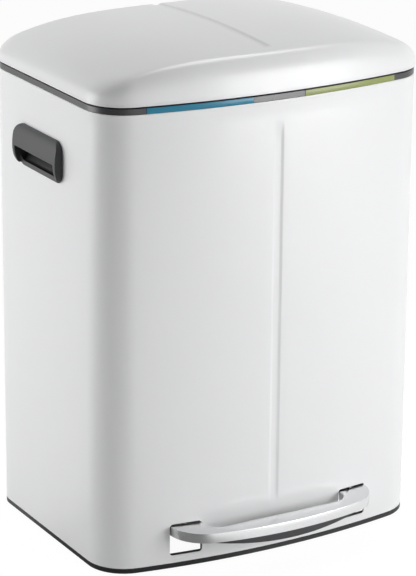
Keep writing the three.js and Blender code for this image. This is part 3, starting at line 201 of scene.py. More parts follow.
mid_y = (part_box("body_shell")[0].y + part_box("body_shell")[1].y) / 2
half_width = 0.2175
half_depth = 0.1555
front_bow = 0.025
front_radius = 0.049
rear_radius = 0.033
sheet = 0.0008
body_bottom = 0.00735
body_top = 0.560
bow_radius = (half_width ** 2 + front_bow ** 2) / (2 * front_bow)
bow_centre = bow_radius - half_depth + mid_y
front_x = half_width - front_radius
front_y = bow_centre - math.sqrt((bow_radius - front_radius) ** 2 - front_x ** 2)
bow_half = math.atan2(front_x, bow_centre - front_y)
rear_x = half_width - rear_radius
rear_y = half_depth - rear_radius + mid_y
front_face, back_face = mid_y - half_depth, mid_y + half_depth
quarter = math.pi / 2
hands = (("left", -1), ("right", 1))


def start_mesh(name):
    """An empty mesh object of that name, open in edit mode."""
    bpy.ops.object.select_all(action='DESELECT')
    bpy.ops.mesh.primitive_plane_add(size=0.01)
    bpy.context.object.name = name
    bpy.ops.object.mode_set(mode='EDIT')
    bpy.ops.mesh.delete(type='VERT')
    return bpy.context.object


def end_mesh():
    """Merges doubles, turns the faces out and leaves edit mode."""
    bpy.ops.mesh.select_all(action='SELECT')
    bpy.ops.mesh.remove_doubles(threshold=1e-5)
    bpy.ops.mesh.normals_make_consistent(inside=False)
    bpy.ops.object.mode_set(mode='OBJECT')
    bpy.context.object.vertex_groups.clear()
    return bpy.context.object


def point(x, y, z):
    """One loose selected vertex, to extrude or spin from."""
    bpy.ops.mesh.select_all(action='DESELECT')
    bpy.ops.mesh.primitive_plane_add(size=0.0001, location=(x, y, z))
    bpy.ops.mesh.merge(type='CENTER')


def spin(steps, angle, centre, axis=(0, 0, 1)):
    bpy.ops.mesh.spin(steps=steps, dupli=False, angle=-angle, center=centre, axis=axis)


def draw_on(x, y, z):
    bpy.ops.mesh.extrude_region_move(TRANSFORM_OT_translate={"value": (x, y, z)})


def draw_through(places):
    """A line of edges from place to place, with all of it selected."""
    point(*places[0])
    for here, there in zip(places, places[1:]):
        draw_on(*(there - here))
    bpy.ops.mesh.select_all(action='SELECT')


def run_on(x, y, steps):
    for _ in range(steps):
        draw_on(x / steps, y / steps, 0)


def trace(inset, z, bow_steps=24, corner_steps=10, side_steps=8, rear_steps=20):
    """The bin's outline drawn in by inset, as a closed loop at that height."""
    r = bow_radius - inset
    start = -quarter - bow_half
    point(r * math.cos(start), bow_centre + r * math.sin(start), z)
    spin(bow_steps, 2 * bow_half, (0, bow_centre, z))
    spin(corner_steps, quarter - bow_half, (front_x, front_y, z))
    run_on(0, rear_y - front_y, side_steps)
    spin(corner_steps, quarter, (rear_x, rear_y, z))
    run_on(-2 * rear_x, 0, rear_steps)
    spin(corner_steps, quarter, (-rear_x, rear_y, z))
    run_on(0, front_y - rear_y, side_steps)
    spin(corner_steps, quarter - bow_half, (-front_x, front_y, z))


def select_loop(index):
    """Adds one of the loops that bridge_loops drew to the selection."""
    bpy.context.object.vertex_groups.active_index = index
    bpy.ops.object.vertex_group_select()


def bridge_loops(draw, steps, closed=False):
    """Joins closed loops by walls of faces. draw(inset, z) draws one, for each (inset, height) in
    steps. They are drawn well apart and then brought to their heights, since bridging turns flat
    rings against each other."""
    spread = 0.05
    for i, (inset, _) in enumerate(steps):
        draw(inset, i * spread)
        bpy.ops.mesh.select_linked()
        bpy.ops.mesh.remove_doubles(threshold=1e-5)
        bpy.ops.object.vertex_group_assign_new()
    pairs = [(i, i + 1) for i in range(len(steps) - 1)]
    if closed:
        pairs.append((len(steps) - 1, 0))
    for pair in pairs:
        bpy.ops.mesh.select_all(action='DESELECT')
        for index in pair:
            select_loop(index)
        bpy.ops.mesh.bridge_edge_loops()
    mesh = bmesh.from_edit_mesh(bpy.context.object.data)
    for v in mesh.verts:
        v.co.z = steps[round(v.co.z / spread)][1]
    bmesh.update_edit_mesh(bpy.context.object.data)


def walls(name, steps, closed=False):
    """A wall through the bin's outline at each (inset, height)."""
    piece = start_mesh(name)
    bridge_loops(trace, steps, closed)
    return piece


def cut_across(where, normal):
    """New edges where a plane crosses the whole mesh."""
    bpy.ops.mesh.select_all(action='SELECT')
    bpy.ops.mesh.bisect(plane_co=where, plane_no=normal)


def select_where(piece, parts, wanted):
    """Selects just the edges or faces that pass a test."""
    mesh = bmesh.from_edit_mesh(piece.data)
    bpy.ops.mesh.select_all(action='DESELECT')
    for part in getattr(mesh, parts):
        part.select_set(wanted(part))
    bmesh.update_edit_mesh(piece.data)


def select_only(piece):
    bpy.ops.object.select_all(action='DESELECT')
    piece.select_set(True)
    bpy.context.view_layer.objects.active = piece


def modify(piece, kind, **settings):
    """Adds a modifier and applies it."""
    select_only(piece)
    modifier = piece.modifiers.new(kind.lower(), kind)
    for key, value in settings.items():
        setattr(modifier, key, value)
    bpy.ops.object.modifier_apply(modifier=modifier.name)


def carve(piece, *tools, operation='DIFFERENCE'):
    """Cuts the tools out of a piece, joins them or keeps what they share, then deletes them."""
    for tool in tools:
        modify(piece, 'BOOLEAN', operation=operation, solver='EXACT', object=tool)
        bpy.data.objects.remove(tool)


def soften(piece, width, segments=2, angle=30):
    """Rounds every edge sharper than angle."""
    modify(piece, 'BEVEL', width=width, segments=segments, limit_method='ANGLE',
           angle_limit=math.radians(angle), harden_normals=False)


def finish_piece(piece, body, material, replaced, angle=32):
    """Smooths a piece, and gives it its material, the body that it rides on and the node that it
    stands for."""
    select_only(piece)
    bpy.ops.object.shade_smooth_by_angle(angle=math.radians(angle), keep_sharp_edges=False)
    piece.data.materials.clear()
    piece.data.materials.append(material)
    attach(piece, body)
    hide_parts(replaced)


def middle_of(node):
    """The lower and upper corners of a node's box, and its middle."""
    low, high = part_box(node)
    return low, high, (low + high) / 2


def block(name, low, high, radius=0.0, along='Z', steps=6):
    """A box between two corners, its four edges along one axis rounded."""
    bpy.ops.object.select_all(action='DESELECT')
    low, high = Vector(low), Vector(high)
    bpy.ops.mesh.primitive_cube_add(size=1, location=(low + high) / 2)
    piece = bpy.context.object
    piece.name = name
    bpy.ops.object.mode_set(mode='EDIT')
    bpy.ops.transform.resize(value=high - low, center_override=(low + high) / 2)
    if radius:
        axis = "XYZ".index(along)

        def runs_along(edge):
            run = edge.verts[0].co - edge.verts[1].co
            return abs(run[axis]) > 0.99 * run.length

        select_where(piece, "edges", runs_along)
        bpy.ops.mesh.bevel(offset=radius, segments=steps, affect='EDGES')
    bpy.ops.object.mode_set(mode='OBJECT')
    bpy.ops.object.transform_apply(location=True, rotation=True, scale=True)
    return piece


def rod(name, radius, start, end, sides=48):
    """A round bar between two points."""
    bpy.ops.object.select_all(action='DESELECT')
    start, end = Vector(start), Vector(end)
    bpy.ops.mesh.primitive_cylinder_add(radius=radius, depth=(end - start).length, vertices=sides,
                                        location=(start + end) / 2,
                                        rotation=(end - start).to_track_quat('Z', 'Y').to_euler())
    bpy.context.object.name = name
    bpy.ops.object.transform_apply(location=True, rotation=True, scale=True)
    return bpy.context.object


def effect_group(name, inputs):
    """A node group that turns its inputs into a colour, a roughness and a height."""
    group = bpy.data.node_groups.new(name, 'ShaderNodeTree')
    outputs = {"Colour": 'NodeSocketColor', "Roughness": 'NodeSocketFloat', "Height": 'NodeSocketFloat'}
    for way, sockets in (('INPUT', inputs), ('OUTPUT', outputs)):
        for socket, kind in sockets.items():
            group.interface.new_socket(socket, in_out=way, socket_type=kind)
    return group, group.nodes.new("NodeGroupInput"), group.nodes.new("NodeGroupOutput")


# Fine grain, for paint and moulded plastic: a fleck for the colour, a drift for the gloss and
# a height for the bump.
grain_group, given, result = effect_group("fine grain", {
    "Fleck Size": 'NodeSocketFloat', "Depth": 'NodeSocketFloat', "Colour": 'NodeSocketColor',
    "Patchiness": 'NodeSocketFloat', "Gloss Low": 'NodeSocketFloat', "Gloss High": 'NodeSocketFloat'})
tree = grain_group
place = add_node(tree, "ShaderNodeTexCoord")
per_metre = add_node(tree, "ShaderNodeMath", 'DIVIDE', {0: 1})
fleck = add_node(tree, "ShaderNodeTexNoise", None, {"Detail": 3})
drift = add_node(tree, "ShaderNodeTexNoise", None, {"Scale": 9, "Detail": 2})
tone = add_node(tree, "ShaderNodeMapRange")
depth = add_node(tree, "ShaderNodeMath", 'MULTIPLY')
darker = add_node(tree, "ShaderNodeMath", 'SUBTRACT', {0: 1})
lighter = add_node(tree, "ShaderNodeMath", 'ADD', {0: 1})
tint = add_node(tree, "ShaderNodeVectorMath", 'SCALE')
gloss = add_node(tree, "ShaderNodeMapRange", None, {"From Min": 0.3, "From Max": 0.7})
link = tree.links.new
link(place.outputs["Object"], fleck.inputs["Vector"])
link(place.outputs["Object"], drift.inputs["Vector"])
link(given.outputs["Fleck Size"], per_metre.inputs[1])
link(per_metre.outputs[0], fleck.inputs["Scale"])
link(given.outputs["Patchiness"], darker.inputs[1])
link(given.outputs["Patchiness"], lighter.inputs[1])
link(fleck.outputs[0], tone.inputs["Value"])
link(darker.outputs[0], tone.inputs["To Min"])
link(lighter.outputs[0], tone.inputs["To Max"])
link(given.outputs["Colour"], tint.inputs[0])
link(tone.outputs[0], tint.inputs["Scale"])
link(drift.outputs[0], gloss.inputs["Value"])
link(given.outputs["Gloss Low"], gloss.inputs["To Min"])
link(given.outputs["Gloss High"], gloss.inputs["To Max"])
link(fleck.outputs[0], depth.inputs[0])
link(given.outputs["Depth"], depth.inputs[1])
link(tint.outputs[0], result.inputs["Colour"])
link(gloss.outputs[0], result.inputs["Roughness"])
link(depth.outputs[0], result.inputs["Height"])


def finish_with(name, group, given, surface, relief):
    """A material whose colour, roughness and bump come from an effect group. Given, surface and
    relief are the values of the group, the shader and the bump."""
    material, output = new_material(name)
    tree = material.node_tree
    link = tree.links.new
    shader = add_node(tree, "ShaderNodeBsdfPrincipled", None, surface)
    effect = add_node(tree, "ShaderNodeGroup")
    effect.node_tree = group
    for socket, value in given.items():
        effect.inputs[socket].default_value = value
    bump = add_node(tree, "ShaderNodeBump", None, relief)
    link(effect.outputs["Colour"], shader.inputs["Base Color"])
    link(effect.outputs["Roughness"], shader.inputs["Roughness"])
    link(effect.outputs["Height"], bump.inputs["Height"])
    link(bump.outputs[0], shader.inputs["Normal"])
    link(shader.outputs[0], output.inputs["Surface"])
    return material


def grained(name, colour, fleck_size, depth, patchiness, gloss_low, gloss_high, coat=0.0, specular=0.5):
    """A finish with fine grain over it. Sizes are in metres."""
    return finish_with(name, grain_group,
                       {"Fleck Size": fleck_size, "Depth": depth, "Colour": (*colour, 1),
                        "Patchiness": patchiness, "Gloss Low": gloss_low, "Gloss High": gloss_high},
                       {"Specular IOR Level": specular, "Coat Weight": coat, "Coat Roughness": 0.12},
                       {"Distance": 0.001, "Strength": 0.6})


white_paint = grained("white powder coat", (0.86, 0.865, 0.87), 0.0011, 0.02, 0.012, 0.30, 0.38, coat=0.15)

groove_half = 0.007
groove_floor_half = 0.0035
groove_depth = 0.0016
groove_bottom = 0.057
groove_top = 0.538
groove_run_out = 0.026


def eased(t):
    t = min(max(t, 0.0), 1.0)
    return t * t * (3 - 2 * t)


def groove_share(x):
    """How far down the groove's side a place is: 1 on its floor, 0 outside it."""
    soft = 0.0006
    return eased((groove_half + soft - abs(x)) / (groove_half - groove_floor_half + 2 * soft))


def cut_groove_columns():
    """Edges along the groove, close enough for its rounded sides."""
    steps = 7
    for i in range(steps + 1):
        x = groove_floor_half - 0.0006 + (groove_half - groove_floor_half + 0.0012) * i / steps
        cut_across((x, 0, 0), (1, 0, 0))
        cut_across((-x, 0, 0), (1, 0, 0))


# Both ends of the tube are hemmed, which leaves a fine bead.
hem = [(0.0004, 0), (-0.0001, 0.0003), (-0.0003, 0.0010), (-0.0003, 0.0016), (-0.0001, 0.0022), (0, 0.0028)]
body = walls("body", [(inset, body_bottom + h) for inset, h in hem]
             + [(inset, body_top - h) for inset, h in reversed(hem)])
cut_groove_columns()
for i in range(7):
    cut_across((0, 0, groove_bottom + groove_run_out * i / 6), (0, 0, 1))
    cut_across((0, 0, groove_top - groove_run_out * i / 6), (0, 0, 1))
mesh = bmesh.from_edit_mesh(body.data)
for v in mesh.verts:
    if v.co.y < mid_y and abs(v.co.x) < 0.009:
        run = min((v.co.z - groove_bottom) / groove_run_out, (groove_top - v.co.z) / groove_run_out)
        v.co.y += groove_depth * groove_share(v.co.x) * eased(run)
bmesh.update_edit_mesh(body.data)
end_mesh()
modify(body, 'SOLIDIFY', thickness=sheet, offset=-1, use_even_offset=True)

slot_low, slot_high = 0.0955, 0.1365
slot_bottom, slot_top, slot_radius = 0.017, 0.057, 0.004
handle_length, handle_height, handle_radius = 0.112, 0.051, 0.013
handle_bottom = 0.457
handle_y = 0.021 + mid_y
handle_rim = 0.0037
screw_x, screw_z, screw_hole = 0.027, 0.551, 0.0022
cutters = []
for side in (-1, 1):
    low, high = sorted((side * slot_low, side * slot_high))
    cutters.append(block("slot", (low, front_face - 0.01, slot_bottom),
                         (high, front_face + 0.04, slot_top), slot_radius, 'Y'))
    low, high = sorted((side * (half_width - 0.004), side * (half_width + 0.004)))
    reach = handle_length / 2 - handle_rim
    cutters.append(block("handle hole", (low, handle_y - reach, handle_bottom + handle_rim),
                         (high, handle_y + reach, handle_bottom + handle_height - handle_rim),
                         handle_radius - handle_rim, 'X'))
    cutters.append(rod("screw hole", screw_hole, (side * screw_x, back_face - 0.004, screw_z),
                       (side * screw_x, back_face + 0.004, screw_z), 24))
carve(body, *cutters)
finish_piece(body, "housing", white_paint, "body_shell")

# ---------------------------------------------------------------- base
# A black plastic ring that the steel tube stands in, with an inner wall that locates it and a
# flange that carries four rubber feet.

black_plastic = grained("black moulded plastic", (0.020, 0.021, 0.022), 0.00045, 0.05, 0.10, 0.42, 0.52,
                        specular=0.35)
base = walls("base", [(0.0012, 0.0008), (0.0, 0.002), (0.0, 0.0071), (0.0004, 0.0072), (0.0011, 0.0072),
                      (0.0011, 0.0294), (0.0016, 0.030), (0.0031, 0.030), (0.0037, 0.0294),
                      (0.0037, 0.0048), (0.0155, 0.0048), (0.016, 0.0043), (0.016, 0.0008)], closed=True)
end_mesh()
cutters = []
for side in (-1, 1):
    low, high = sorted((side * (slot_low + 0.0003), side * (slot_high + 0.001)))
    cutters.append(block("pedal window", (low, front_face - 0.001, 0.0185),
                         (high, front_face + 0.039, 0.031)))
foot_pocket = 0.0058
feet = ("foot_front_left", "foot_front_right", "foot_rear_left", "foot_rear_right")
for foot in feet:
    low, high, middle = middle_of(foot)
    cutters.append(rod("pocket", foot_pocket, (middle.x, middle.y, -0.001), (middle.x, middle.y, 0.003), 32))
carve(base, *cutters)
finish_piece(base, "housing", black_plastic, "base_ring")

rubber = grained("black rubber", (0.022, 0.022, 0.023), 0.0009, 0.06, 0.12, 0.75, 0.9, specular=0.3)


def turned(name, profile, origin, axis, sides=40):
    """A piece turned on a lathe: (radius, distance along the axis) from end to end."""
    piece = start_mesh(name)
    axis = Vector(axis).normalized()
    across = axis.orthogonal().normalized()
    draw_through([Vector(origin) + across * r + axis * h for r, h in profile])
    spin(sides, 2 * math.pi, origin, axis)
    return end_mesh()


for foot in feet:
    low, high, middle = middle_of(foot)
    radius = (high.x - low.x) / 2
    top = high.z
    piece = turned(foot + "_pad", [(0, 0), (radius - 0.0006, 0), (radius - 0.0002, 0.0002), (radius, 0.0006),
                                   (radius, top - 0.0002), (radius - 0.0002, top), (0, top)],
                   (middle.x, middle.y, low.z), (0, 0, 1))
    finish_piece(piece, "housing", rubber, foot)

# ---------------------------------------------------------------- ring and markers
# A dark plastic ring caps the tube and carries the lid's buffers. A blue and a green strip
# snap into its front, one for each kind of waste.

ring_top = 0.5674
ring_plastic = grained("dark ring plastic", (0.040, 0.041, 0.043), 0.0005, 0.03, 0.08, 0.24, 0.34,
                       specular=0.7)
ring = walls("ring", [(0.0003, 0.56015), (0.0, 0.5605), (0.0, 0.5669), (0.0005, ring_top), (0.0114, ring_top),
                      (0.012, 0.5668), (0.012, 0.5649), (0.0036, 0.5649), (0.0036, 0.5454),
                      (0.0032, 0.545), (0.0015, 0.545), (0.0011, 0.5454), (0.0011, 0.56015)], closed=True)
end_mesh()
marker_inner, marker_outer, marker_gap = 0.034, 0.166, 0.0003


def bowed_bar(name, x0, x1, outer, inner, z0, z1, steps=20):
    """A bar that follows the front's bow, from x0 to x1. Outer and inner are depths behind the face."""
    piece = start_mesh(name)
    start, end = (math.asin(x / bow_radius) - quarter for x in (x0, x1))
    outer, inner = bow_radius - outer, bow_radius - inner
    sides = [(outer, z0), (inner, z0), (inner, z1), (outer, z1)]
    places = [Vector((r * math.cos(start), bow_centre + r * math.sin(start), z)) for r, z in sides]
    draw_through(places + places[:1])
    bpy.ops.mesh.remove_doubles(threshold=1e-5)
    spin(steps, end - start, (0, bow_centre, 0))
    bpy.ops.mesh.select_all(action='SELECT')
    bpy.ops.mesh.remove_doubles(threshold=1e-5)
    bpy.ops.mesh.fill_holes(sides=0)
    return end_mesh()


cutters = [block("crank notch", (-0.018, mid_y, 0.544), (0.018, back_face - 0.0038, 0.5685))]
for side in (-1, 1):
    low, high = sorted((side * marker_inner, side * marker_outer))
    cutters.append(bowed_bar("recess", low, high, -0.001, 0.0015, 0.559, 0.5685))
    cutters.append(rod("screw hole", screw_hole, (side * screw_x, back_face - 0.006, screw_z),
                       (side * screw_x, back_face, screw_z), 24))
carve(ring, *cutters)
finish_piece(ring, "housing", ring_plastic, "top_ring")

marker_finishes = {
    "left": (grained("blue marker plastic", (0.024, 0.215, 0.335), 0.0008, 0.01, 0.03, 0.16, 0.22,
                     specular=0.3), "blue_plastic"),
    "right": (grained("green marker plastic", (0.31, 0.355, 0.13), 0.0008, 0.01, 0.03, 0.16, 0.22,
                      specular=0.3), "green_plastic"),
}
for hand, side in hands:
    low, high = sorted((side * (marker_inner + marker_gap), side * (marker_outer - marker_gap)))
    strip = bowed_bar("marker_strip_" + hand, low, high, -0.0005, 0.0012, body_top + marker_gap,
                      ring_top - marker_gap)
    soften(strip, 0.00035, 3)
    material, slot = marker_finishes[hand]
    finish_piece(strip, "housing", material, "marker_" + hand)

# ---------------------------------------------------------------- lid
# One steel pressing, crowned across and along, with a rolled edge and a groove in line with
# the body's. A plastic liner closes it below and a buffer sits at each front corner.

lid_bottom = 0.569
lid_overhang = 0.0012
skirt_top = lid_bottom + 0.0055
shoulder = 0.021
shoulder_power = 2.5
crown_height = 0.0508
side_fall, side_fall_power = 0.020, 3.3
end_fall = 0.005


def crown(x, y):
    return (lid_bottom + crown_height
            - side_fall * abs(x / (half_width - shoulder)) ** side_fall_power
            - end_fall * ((y - mid_y) / (half_depth - shoulder)) ** 2)


def pressed_lid(name, inset, foot, crown_rings=14):
    """Draws the lid's form flat, ring in ring, then raises each ring to the crown."""
    piece = start_mesh(name)
    alongs = [1 - math.cos(quarter * i / 12) for i in range(13)]
    steps = foot + [(inset + shoulder * a, skirt_top + a) for a in alongs]
    bridge_loops(trace, steps)
    bpy.ops.mesh.select_all(action='DESELECT')
    select_loop(len(steps) - 1)
    for i in range(1, crown_rings):
        bpy.ops.mesh.extrude_region_move()
        share = (crown_rings - i) / (crown_rings - i + 1)
        bpy.ops.transform.resize(value=(share, share, 1), center_override=(0, mid_y, 0))
    bpy.ops.mesh.extrude_region_move()
    bpy.ops.mesh.merge(type='CENTER')
    mesh = bmesh.from_edit_mesh(piece.data)
    for v in mesh.verts:
        along = min(v.co.z - skirt_top, 1.0)
        if along > -1e-6:
            rise = (1 - (1 - max(along, 0)) ** shoulder_power) ** (1 / shoulder_power)
            v.co.z = skirt_top + (crown(v.co.x, v.co.y) - skirt_top) * rise
    bmesh.update_edit_mesh(piece.data)
    return piece


lid = pressed_lid("lid", -lid_overhang + 0.0003,
                  [(-lid_overhang + 0.0006, lid_bottom), (-lid_overhang + 0.0001, lid_bottom + 0.0003),
                   (-lid_overhang, lid_bottom + 0.0008), (-lid_overhang, lid_bottom + 0.0016),
                   (-lid_overhang + 0.0003, lid_bottom + 0.0021)])
lid_groove_depth = 0.0019
lid_groove_front = front_face + 0.0265
lid_groove_rear = back_face - 0.0055
cut_groove_columns()
for i in range(6):
    cut_across((0, lid_groove_front + 0.012 * i / 5, 0), (0, 1, 0))
    cut_across((0, lid_groove_rear - 0.006 * i / 5, 0), (0, 1, 0))
mesh = bmesh.from_edit_mesh(lid.data)
for v in mesh.verts:
    if abs(v.co.x) < 0.009 and v.co.z > skirt_top + 0.004:
        run = min((v.co.y - lid_groove_front) / 0.012, (lid_groove_rear - v.co.y) / 0.006)
        v.co.z -= lid_groove_depth * groove_share(v.co.x) * eased(run)
bmesh.update_edit_mesh(lid.data)
end_mesh()
modify(lid, 'SOLIDIFY', thickness=sheet, offset=-1, use_even_offset=True)
leaf_half, leaf_top = 0.0467, 0.5776
carve(lid, block("leaf notch", (-leaf_half - 0.001, mid_y, lid_bottom - 0.005),
                 (leaf_half + 0.001, back_face + 0.005, leaf_top + 0.001)))
finish_piece(lid, "lid", white_paint, "lid_shell")


def eased_copy(node, name, body, material, width, angle=30):
    """The frame's own piece with its edges rounded off."""
    piece = nodes[node].copy()
    piece.data = nodes[node].data.copy()
    piece.name = name
    bpy.context.scene.collection.objects.link(piece)
    piece.hide_render = piece.hide_viewport = False
    select_only(piece)
    bpy.ops.object.mode_set(mode='EDIT')
    bpy.ops.mesh.select_all(action='SELECT')
    bpy.ops.mesh.remove_doubles(threshold=1e-5)
    bpy.ops.mesh.dissolve_limited(angle_limit=math.radians(1))
    bpy.ops.object.mode_set(mode='OBJECT')
    soften(piece, width, 2, angle)
    finish_piece(piece, body, material, node)


eased_copy("lid_liner", "liner", "lid", black_plastic, 0.0003, 50)

for hand in ("left", "right"):
    low, high, middle = middle_of("lid_buffer_" + hand)
    radius, tall = (high.x - low.x) / 2, high.z - low.z
    profile = [(0, 0), (radius - 0.0014, 0), (radius - 0.0005, 0.0004), (radius, 0.0012), (radius, tall),
               (0, tall)]
    piece = turned("buffer_" + hand, profile, (middle.x, middle.y, low.z), (0, 0, 1))
    finish_piece(piece, "lid", rubber, "lid_buffer_" + hand)

# ---------------------------------------------------------------- side handles
# Moulded black finger pockets pushed in through the body's sides: a thin rim on the steel, a
# hood over the upper half with a round cheek at each end, and a pocket behind it.

handle_plastic = grained("black handle plastic", (0.030, 0.031, 0.033), 0.0004, 0.05, 0.10, 0.38, 0.48)
hood_proud = 0.0105
pocket_depth = 0.022
pocket_wall = 0.002
mouth_height = 0.024


def prism(name, outline, run):
    """A flat outline drawn point by point, filled and pulled along run."""
    piece = start_mesh(name)
    draw_through([Vector(p) for p in outline])
    bpy.ops.mesh.edge_face_add()
    draw_on(*run)
    return end_mesh()


for hand, side in hands:
    face = half_width + 0.0003
    back = half_width - pocket_depth
    top = handle_bottom + handle_height
    mouth_top = handle_bottom + mouth_height
    outer = face + hood_proud
    y0, y1 = handle_y - handle_length / 2, handle_y + handle_length / 2

    def hood_curve(inset, steps=20):
        reach, rise = outer - inset - face, top - inset - mouth_top
        turns = [quarter * i / steps for i in range(steps + 1)]
        curve = [(face + reach * math.cos(t) ** 0.8, mouth_top + rise * math.sin(t)) for t in turns[:-1]]
        return [*curve, (face, mouth_top + rise)]

    def across(outline, y):
        return [(side * x, y, z) for x, z in outline]

    def rounded(margin, near, far):
        low, high = sorted((side * near, side * far))
        return block("rounded", (low, y0 + margin, handle_bottom + margin),
                     (high, y1 - margin, top - margin), max(handle_radius - margin, 0.001), 'X', 10)

    turns = [quarter * i / 14 for i in range(1, 14)]
    lower_cheek = [(face + hood_proud * math.sin(t), mouth_top - mouth_height * math.cos(t)) for t in turns]
    cheek = [(face, mouth_top + 0.001), (face, handle_bottom), *lower_cheek, (outer, mouth_top + 0.001)]
    handle = prism("handle_" + hand, across([(face, mouth_top), *hood_curve(0)], y0), (0, y1 - y0, 0))
    cheeks = [prism("cheek", across(cheek, y), (0, 0.006, 0)) for y in (y0, y1 - 0.006)]
    carve(handle, *cheeks, operation='UNION')
    carve(handle, rounded(0, 0.1, outer + 0.002), operation='INTERSECT')
    carve(handle, rounded(0.0043, back, face + 0.0005), rounded(0, face - 0.0001, face + 0.0014),
          operation='UNION')
    cavity = [(outer + 0.001, handle_bottom + 0.004), (outer + 0.001, mouth_top - 0.001),
              (outer - pocket_wall, mouth_top - 0.001), *hood_curve(pocket_wall),
              (back + pocket_wall, top - 0.006), (back + pocket_wall, handle_bottom + 0.033),
              (back + 0.006, handle_bottom + 0.024), (face - 0.0095, handle_bottom + 0.0138),
              (face - 0.0035, handle_bottom + 0.0068),
              (face + 0.002, handle_bottom + 0.004)]
    hollow = prism("hollow", across(cavity, y0), (0, y1 - y0, 0))
    carve(hollow, rounded(0.006, back, outer + 0.002), operation='INTERSECT')
    carve(handle, hollow)
    modify(handle, 'REMESH', mode='VOXEL', voxel_size=0.0006)
    modify(handle, 'SMOOTH', factor=0.5, iterations=3)
    finish_piece(handle, "housing", handle_plastic, "side_handle_" + hand, 60)

# ---------------------------------------------------------------- pedal
# A bar of brushed stainless steel, bent up from one blank, that turns into an arm at each
# end. A dark plastic core fills it from below and bellies out under the bar.

# Brushing: fine streaks along the bar.
brush_group, given, result = effect_group("brushing", {
    "Streaks": 'NodeSocketVector', "Colour": 'NodeSocketColor'})
tree = brush_group
place = add_node(tree, "ShaderNodeTexCoord")
stretch = add_node(tree, "ShaderNodeVectorMath", 'MULTIPLY')
streak = add_node(tree, "ShaderNodeTexNoise", None, {"Scale": 1, "Detail": 4, "Roughness": 0.6})
tone = add_node(tree, "ShaderNodeMapRange", None, {"To Min": 0.86, "To Max": 1.1})
tint = add_node(tree, "ShaderNodeVectorMath", 'SCALE')
gloss = add_node(tree, "ShaderNodeMapRange", None, {"To Min": 0.14, "To Max": 0.32})
link = tree.links.new
link(place.outputs["Object"], stretch.inputs[0])
link(given.outputs["Streaks"], stretch.inputs[1])
link(stretch.outputs[0], streak.inputs["Vector"])
link(streak.outputs[0], tone.inputs["Value"])
link(streak.outputs[0], gloss.inputs["Value"])
link(given.outputs["Colour"], tint.inputs[0])
link(tone.outputs[0], tint.inputs["Scale"])
link(tint.outputs[0], result.inputs["Colour"])
link(gloss.outputs[0], result.inputs["Roughness"])
link(streak.outputs[0], result.inputs["Height"])


def brushed(name, colour, streaks, bump_height=0.00003):
    """Metal brushed one way. Streaks is how often the pattern repeats in a metre of each axis."""
    return finish_with(name, brush_group, {"Streaks": streaks, "Colour": (*colour, 1)},
                       {"Metallic": 1}, {"Distance": bump_height})


stainless = brushed("brushed stainless", (0.76, 0.765, 0.77), (20, 2600, 2600))
zinc = brushed("zinc plate", (0.50, 0.51, 0.52), (260, 420, 420), 0.00001)

pedal_half = 0.1355
pedal_arm = 0.039
pedal_front = front_face - 0.0455
pedal_bow = 0.009
pedal_corner = 0.046
pedal_back = pedal_front + 0.0245
pedal_inner = 0.020
arm_end = front_face + 0.037
pedal_low, pedal_high = 0.043, 0.055


def arc(cx, cy, radius, start, end, steps):
    return [(cx + radius * math.cos(start + (end - start) * i / steps),
             cy + radius * math.sin(start + (end - start) * i / steps)) for i in range(steps + 1)]


def pedal_outline(inset, z):
    """The bar with its two arms, seen from above and drawn in by inset."""
    half = pedal_half - inset
    corner_x = pedal_half - pedal_corner
    bar = (corner_x ** 2 + pedal_bow ** 2) / (2 * pedal_bow)
    centre = pedal_front + bar
    corner_y = centre - math.sqrt((bar - pedal_corner) ** 2 - corner_x ** 2)
    lean = math.atan2(corner_x, centre - corner_y)
    inner_x = pedal_half - pedal_arm + inset
    inner_y = pedal_back - inset
    r = pedal_inner + inset
    flat = [(-half, arm_end - inset),
            *arc(-corner_x, corner_y, pedal_corner - inset, math.pi, 3 * quarter - lean, 16),
            *arc(0, centre, bar - inset, -quarter - lean, -quarter + lean, 24)[1:-1],
            *arc(corner_x, corner_y, pedal_corner - inset, -quarter + lean, 0, 16),
            (half, arm_end - inset), (inner_x, arm_end - inset),
            *arc(inner_x - r, inner_y + r, r, 0, -quarter, 12),
            *arc(r - inner_x, inner_y + r, r, -quarter, -math.pi, 12),
            (-inner_x, arm_end - inset)]
    return [(x, y, z) for x, y in flat]


pedal = prism("pedal", pedal_outline(0, pedal_low), (0, 0, pedal_high - pedal_low))
bpy.ops.object.mode_set(mode='EDIT')
select_where(pedal, "edges", lambda edge: all(v.co.z > pedal_high - 1e-5 for v in edge.verts))
bpy.ops.mesh.bevel(offset=0.0012, segments=4, affect='EDGES')
select_where(pedal, "faces", lambda f: f.normal.z < -0.9
             or (f.normal.y > 0.95 and f.calc_center_median().y > arm_end - 0.001))
bpy.ops.mesh.delete(type='FACE')
bpy.ops.object.mode_set(mode='OBJECT')
modify(pedal, 'SOLIDIFY', thickness=0.0015, offset=-1, use_even_offset=True)
lever_x = 0.116
rivet_insets = (0.012, 0.028)
rivet_places = [(side * lever_x, front_face + inset) for side in (-1, 1) for inset in rivet_insets]
carve(pedal, *[rod("rivet hole", 0.0023, (x, y, 0.05), (x, y, 0.057), 24) for x, y in rivet_places])
soften(pedal, 0.0002, 2, 50)
finish_piece(pedal, "pedal", stainless, "pedal_cover")

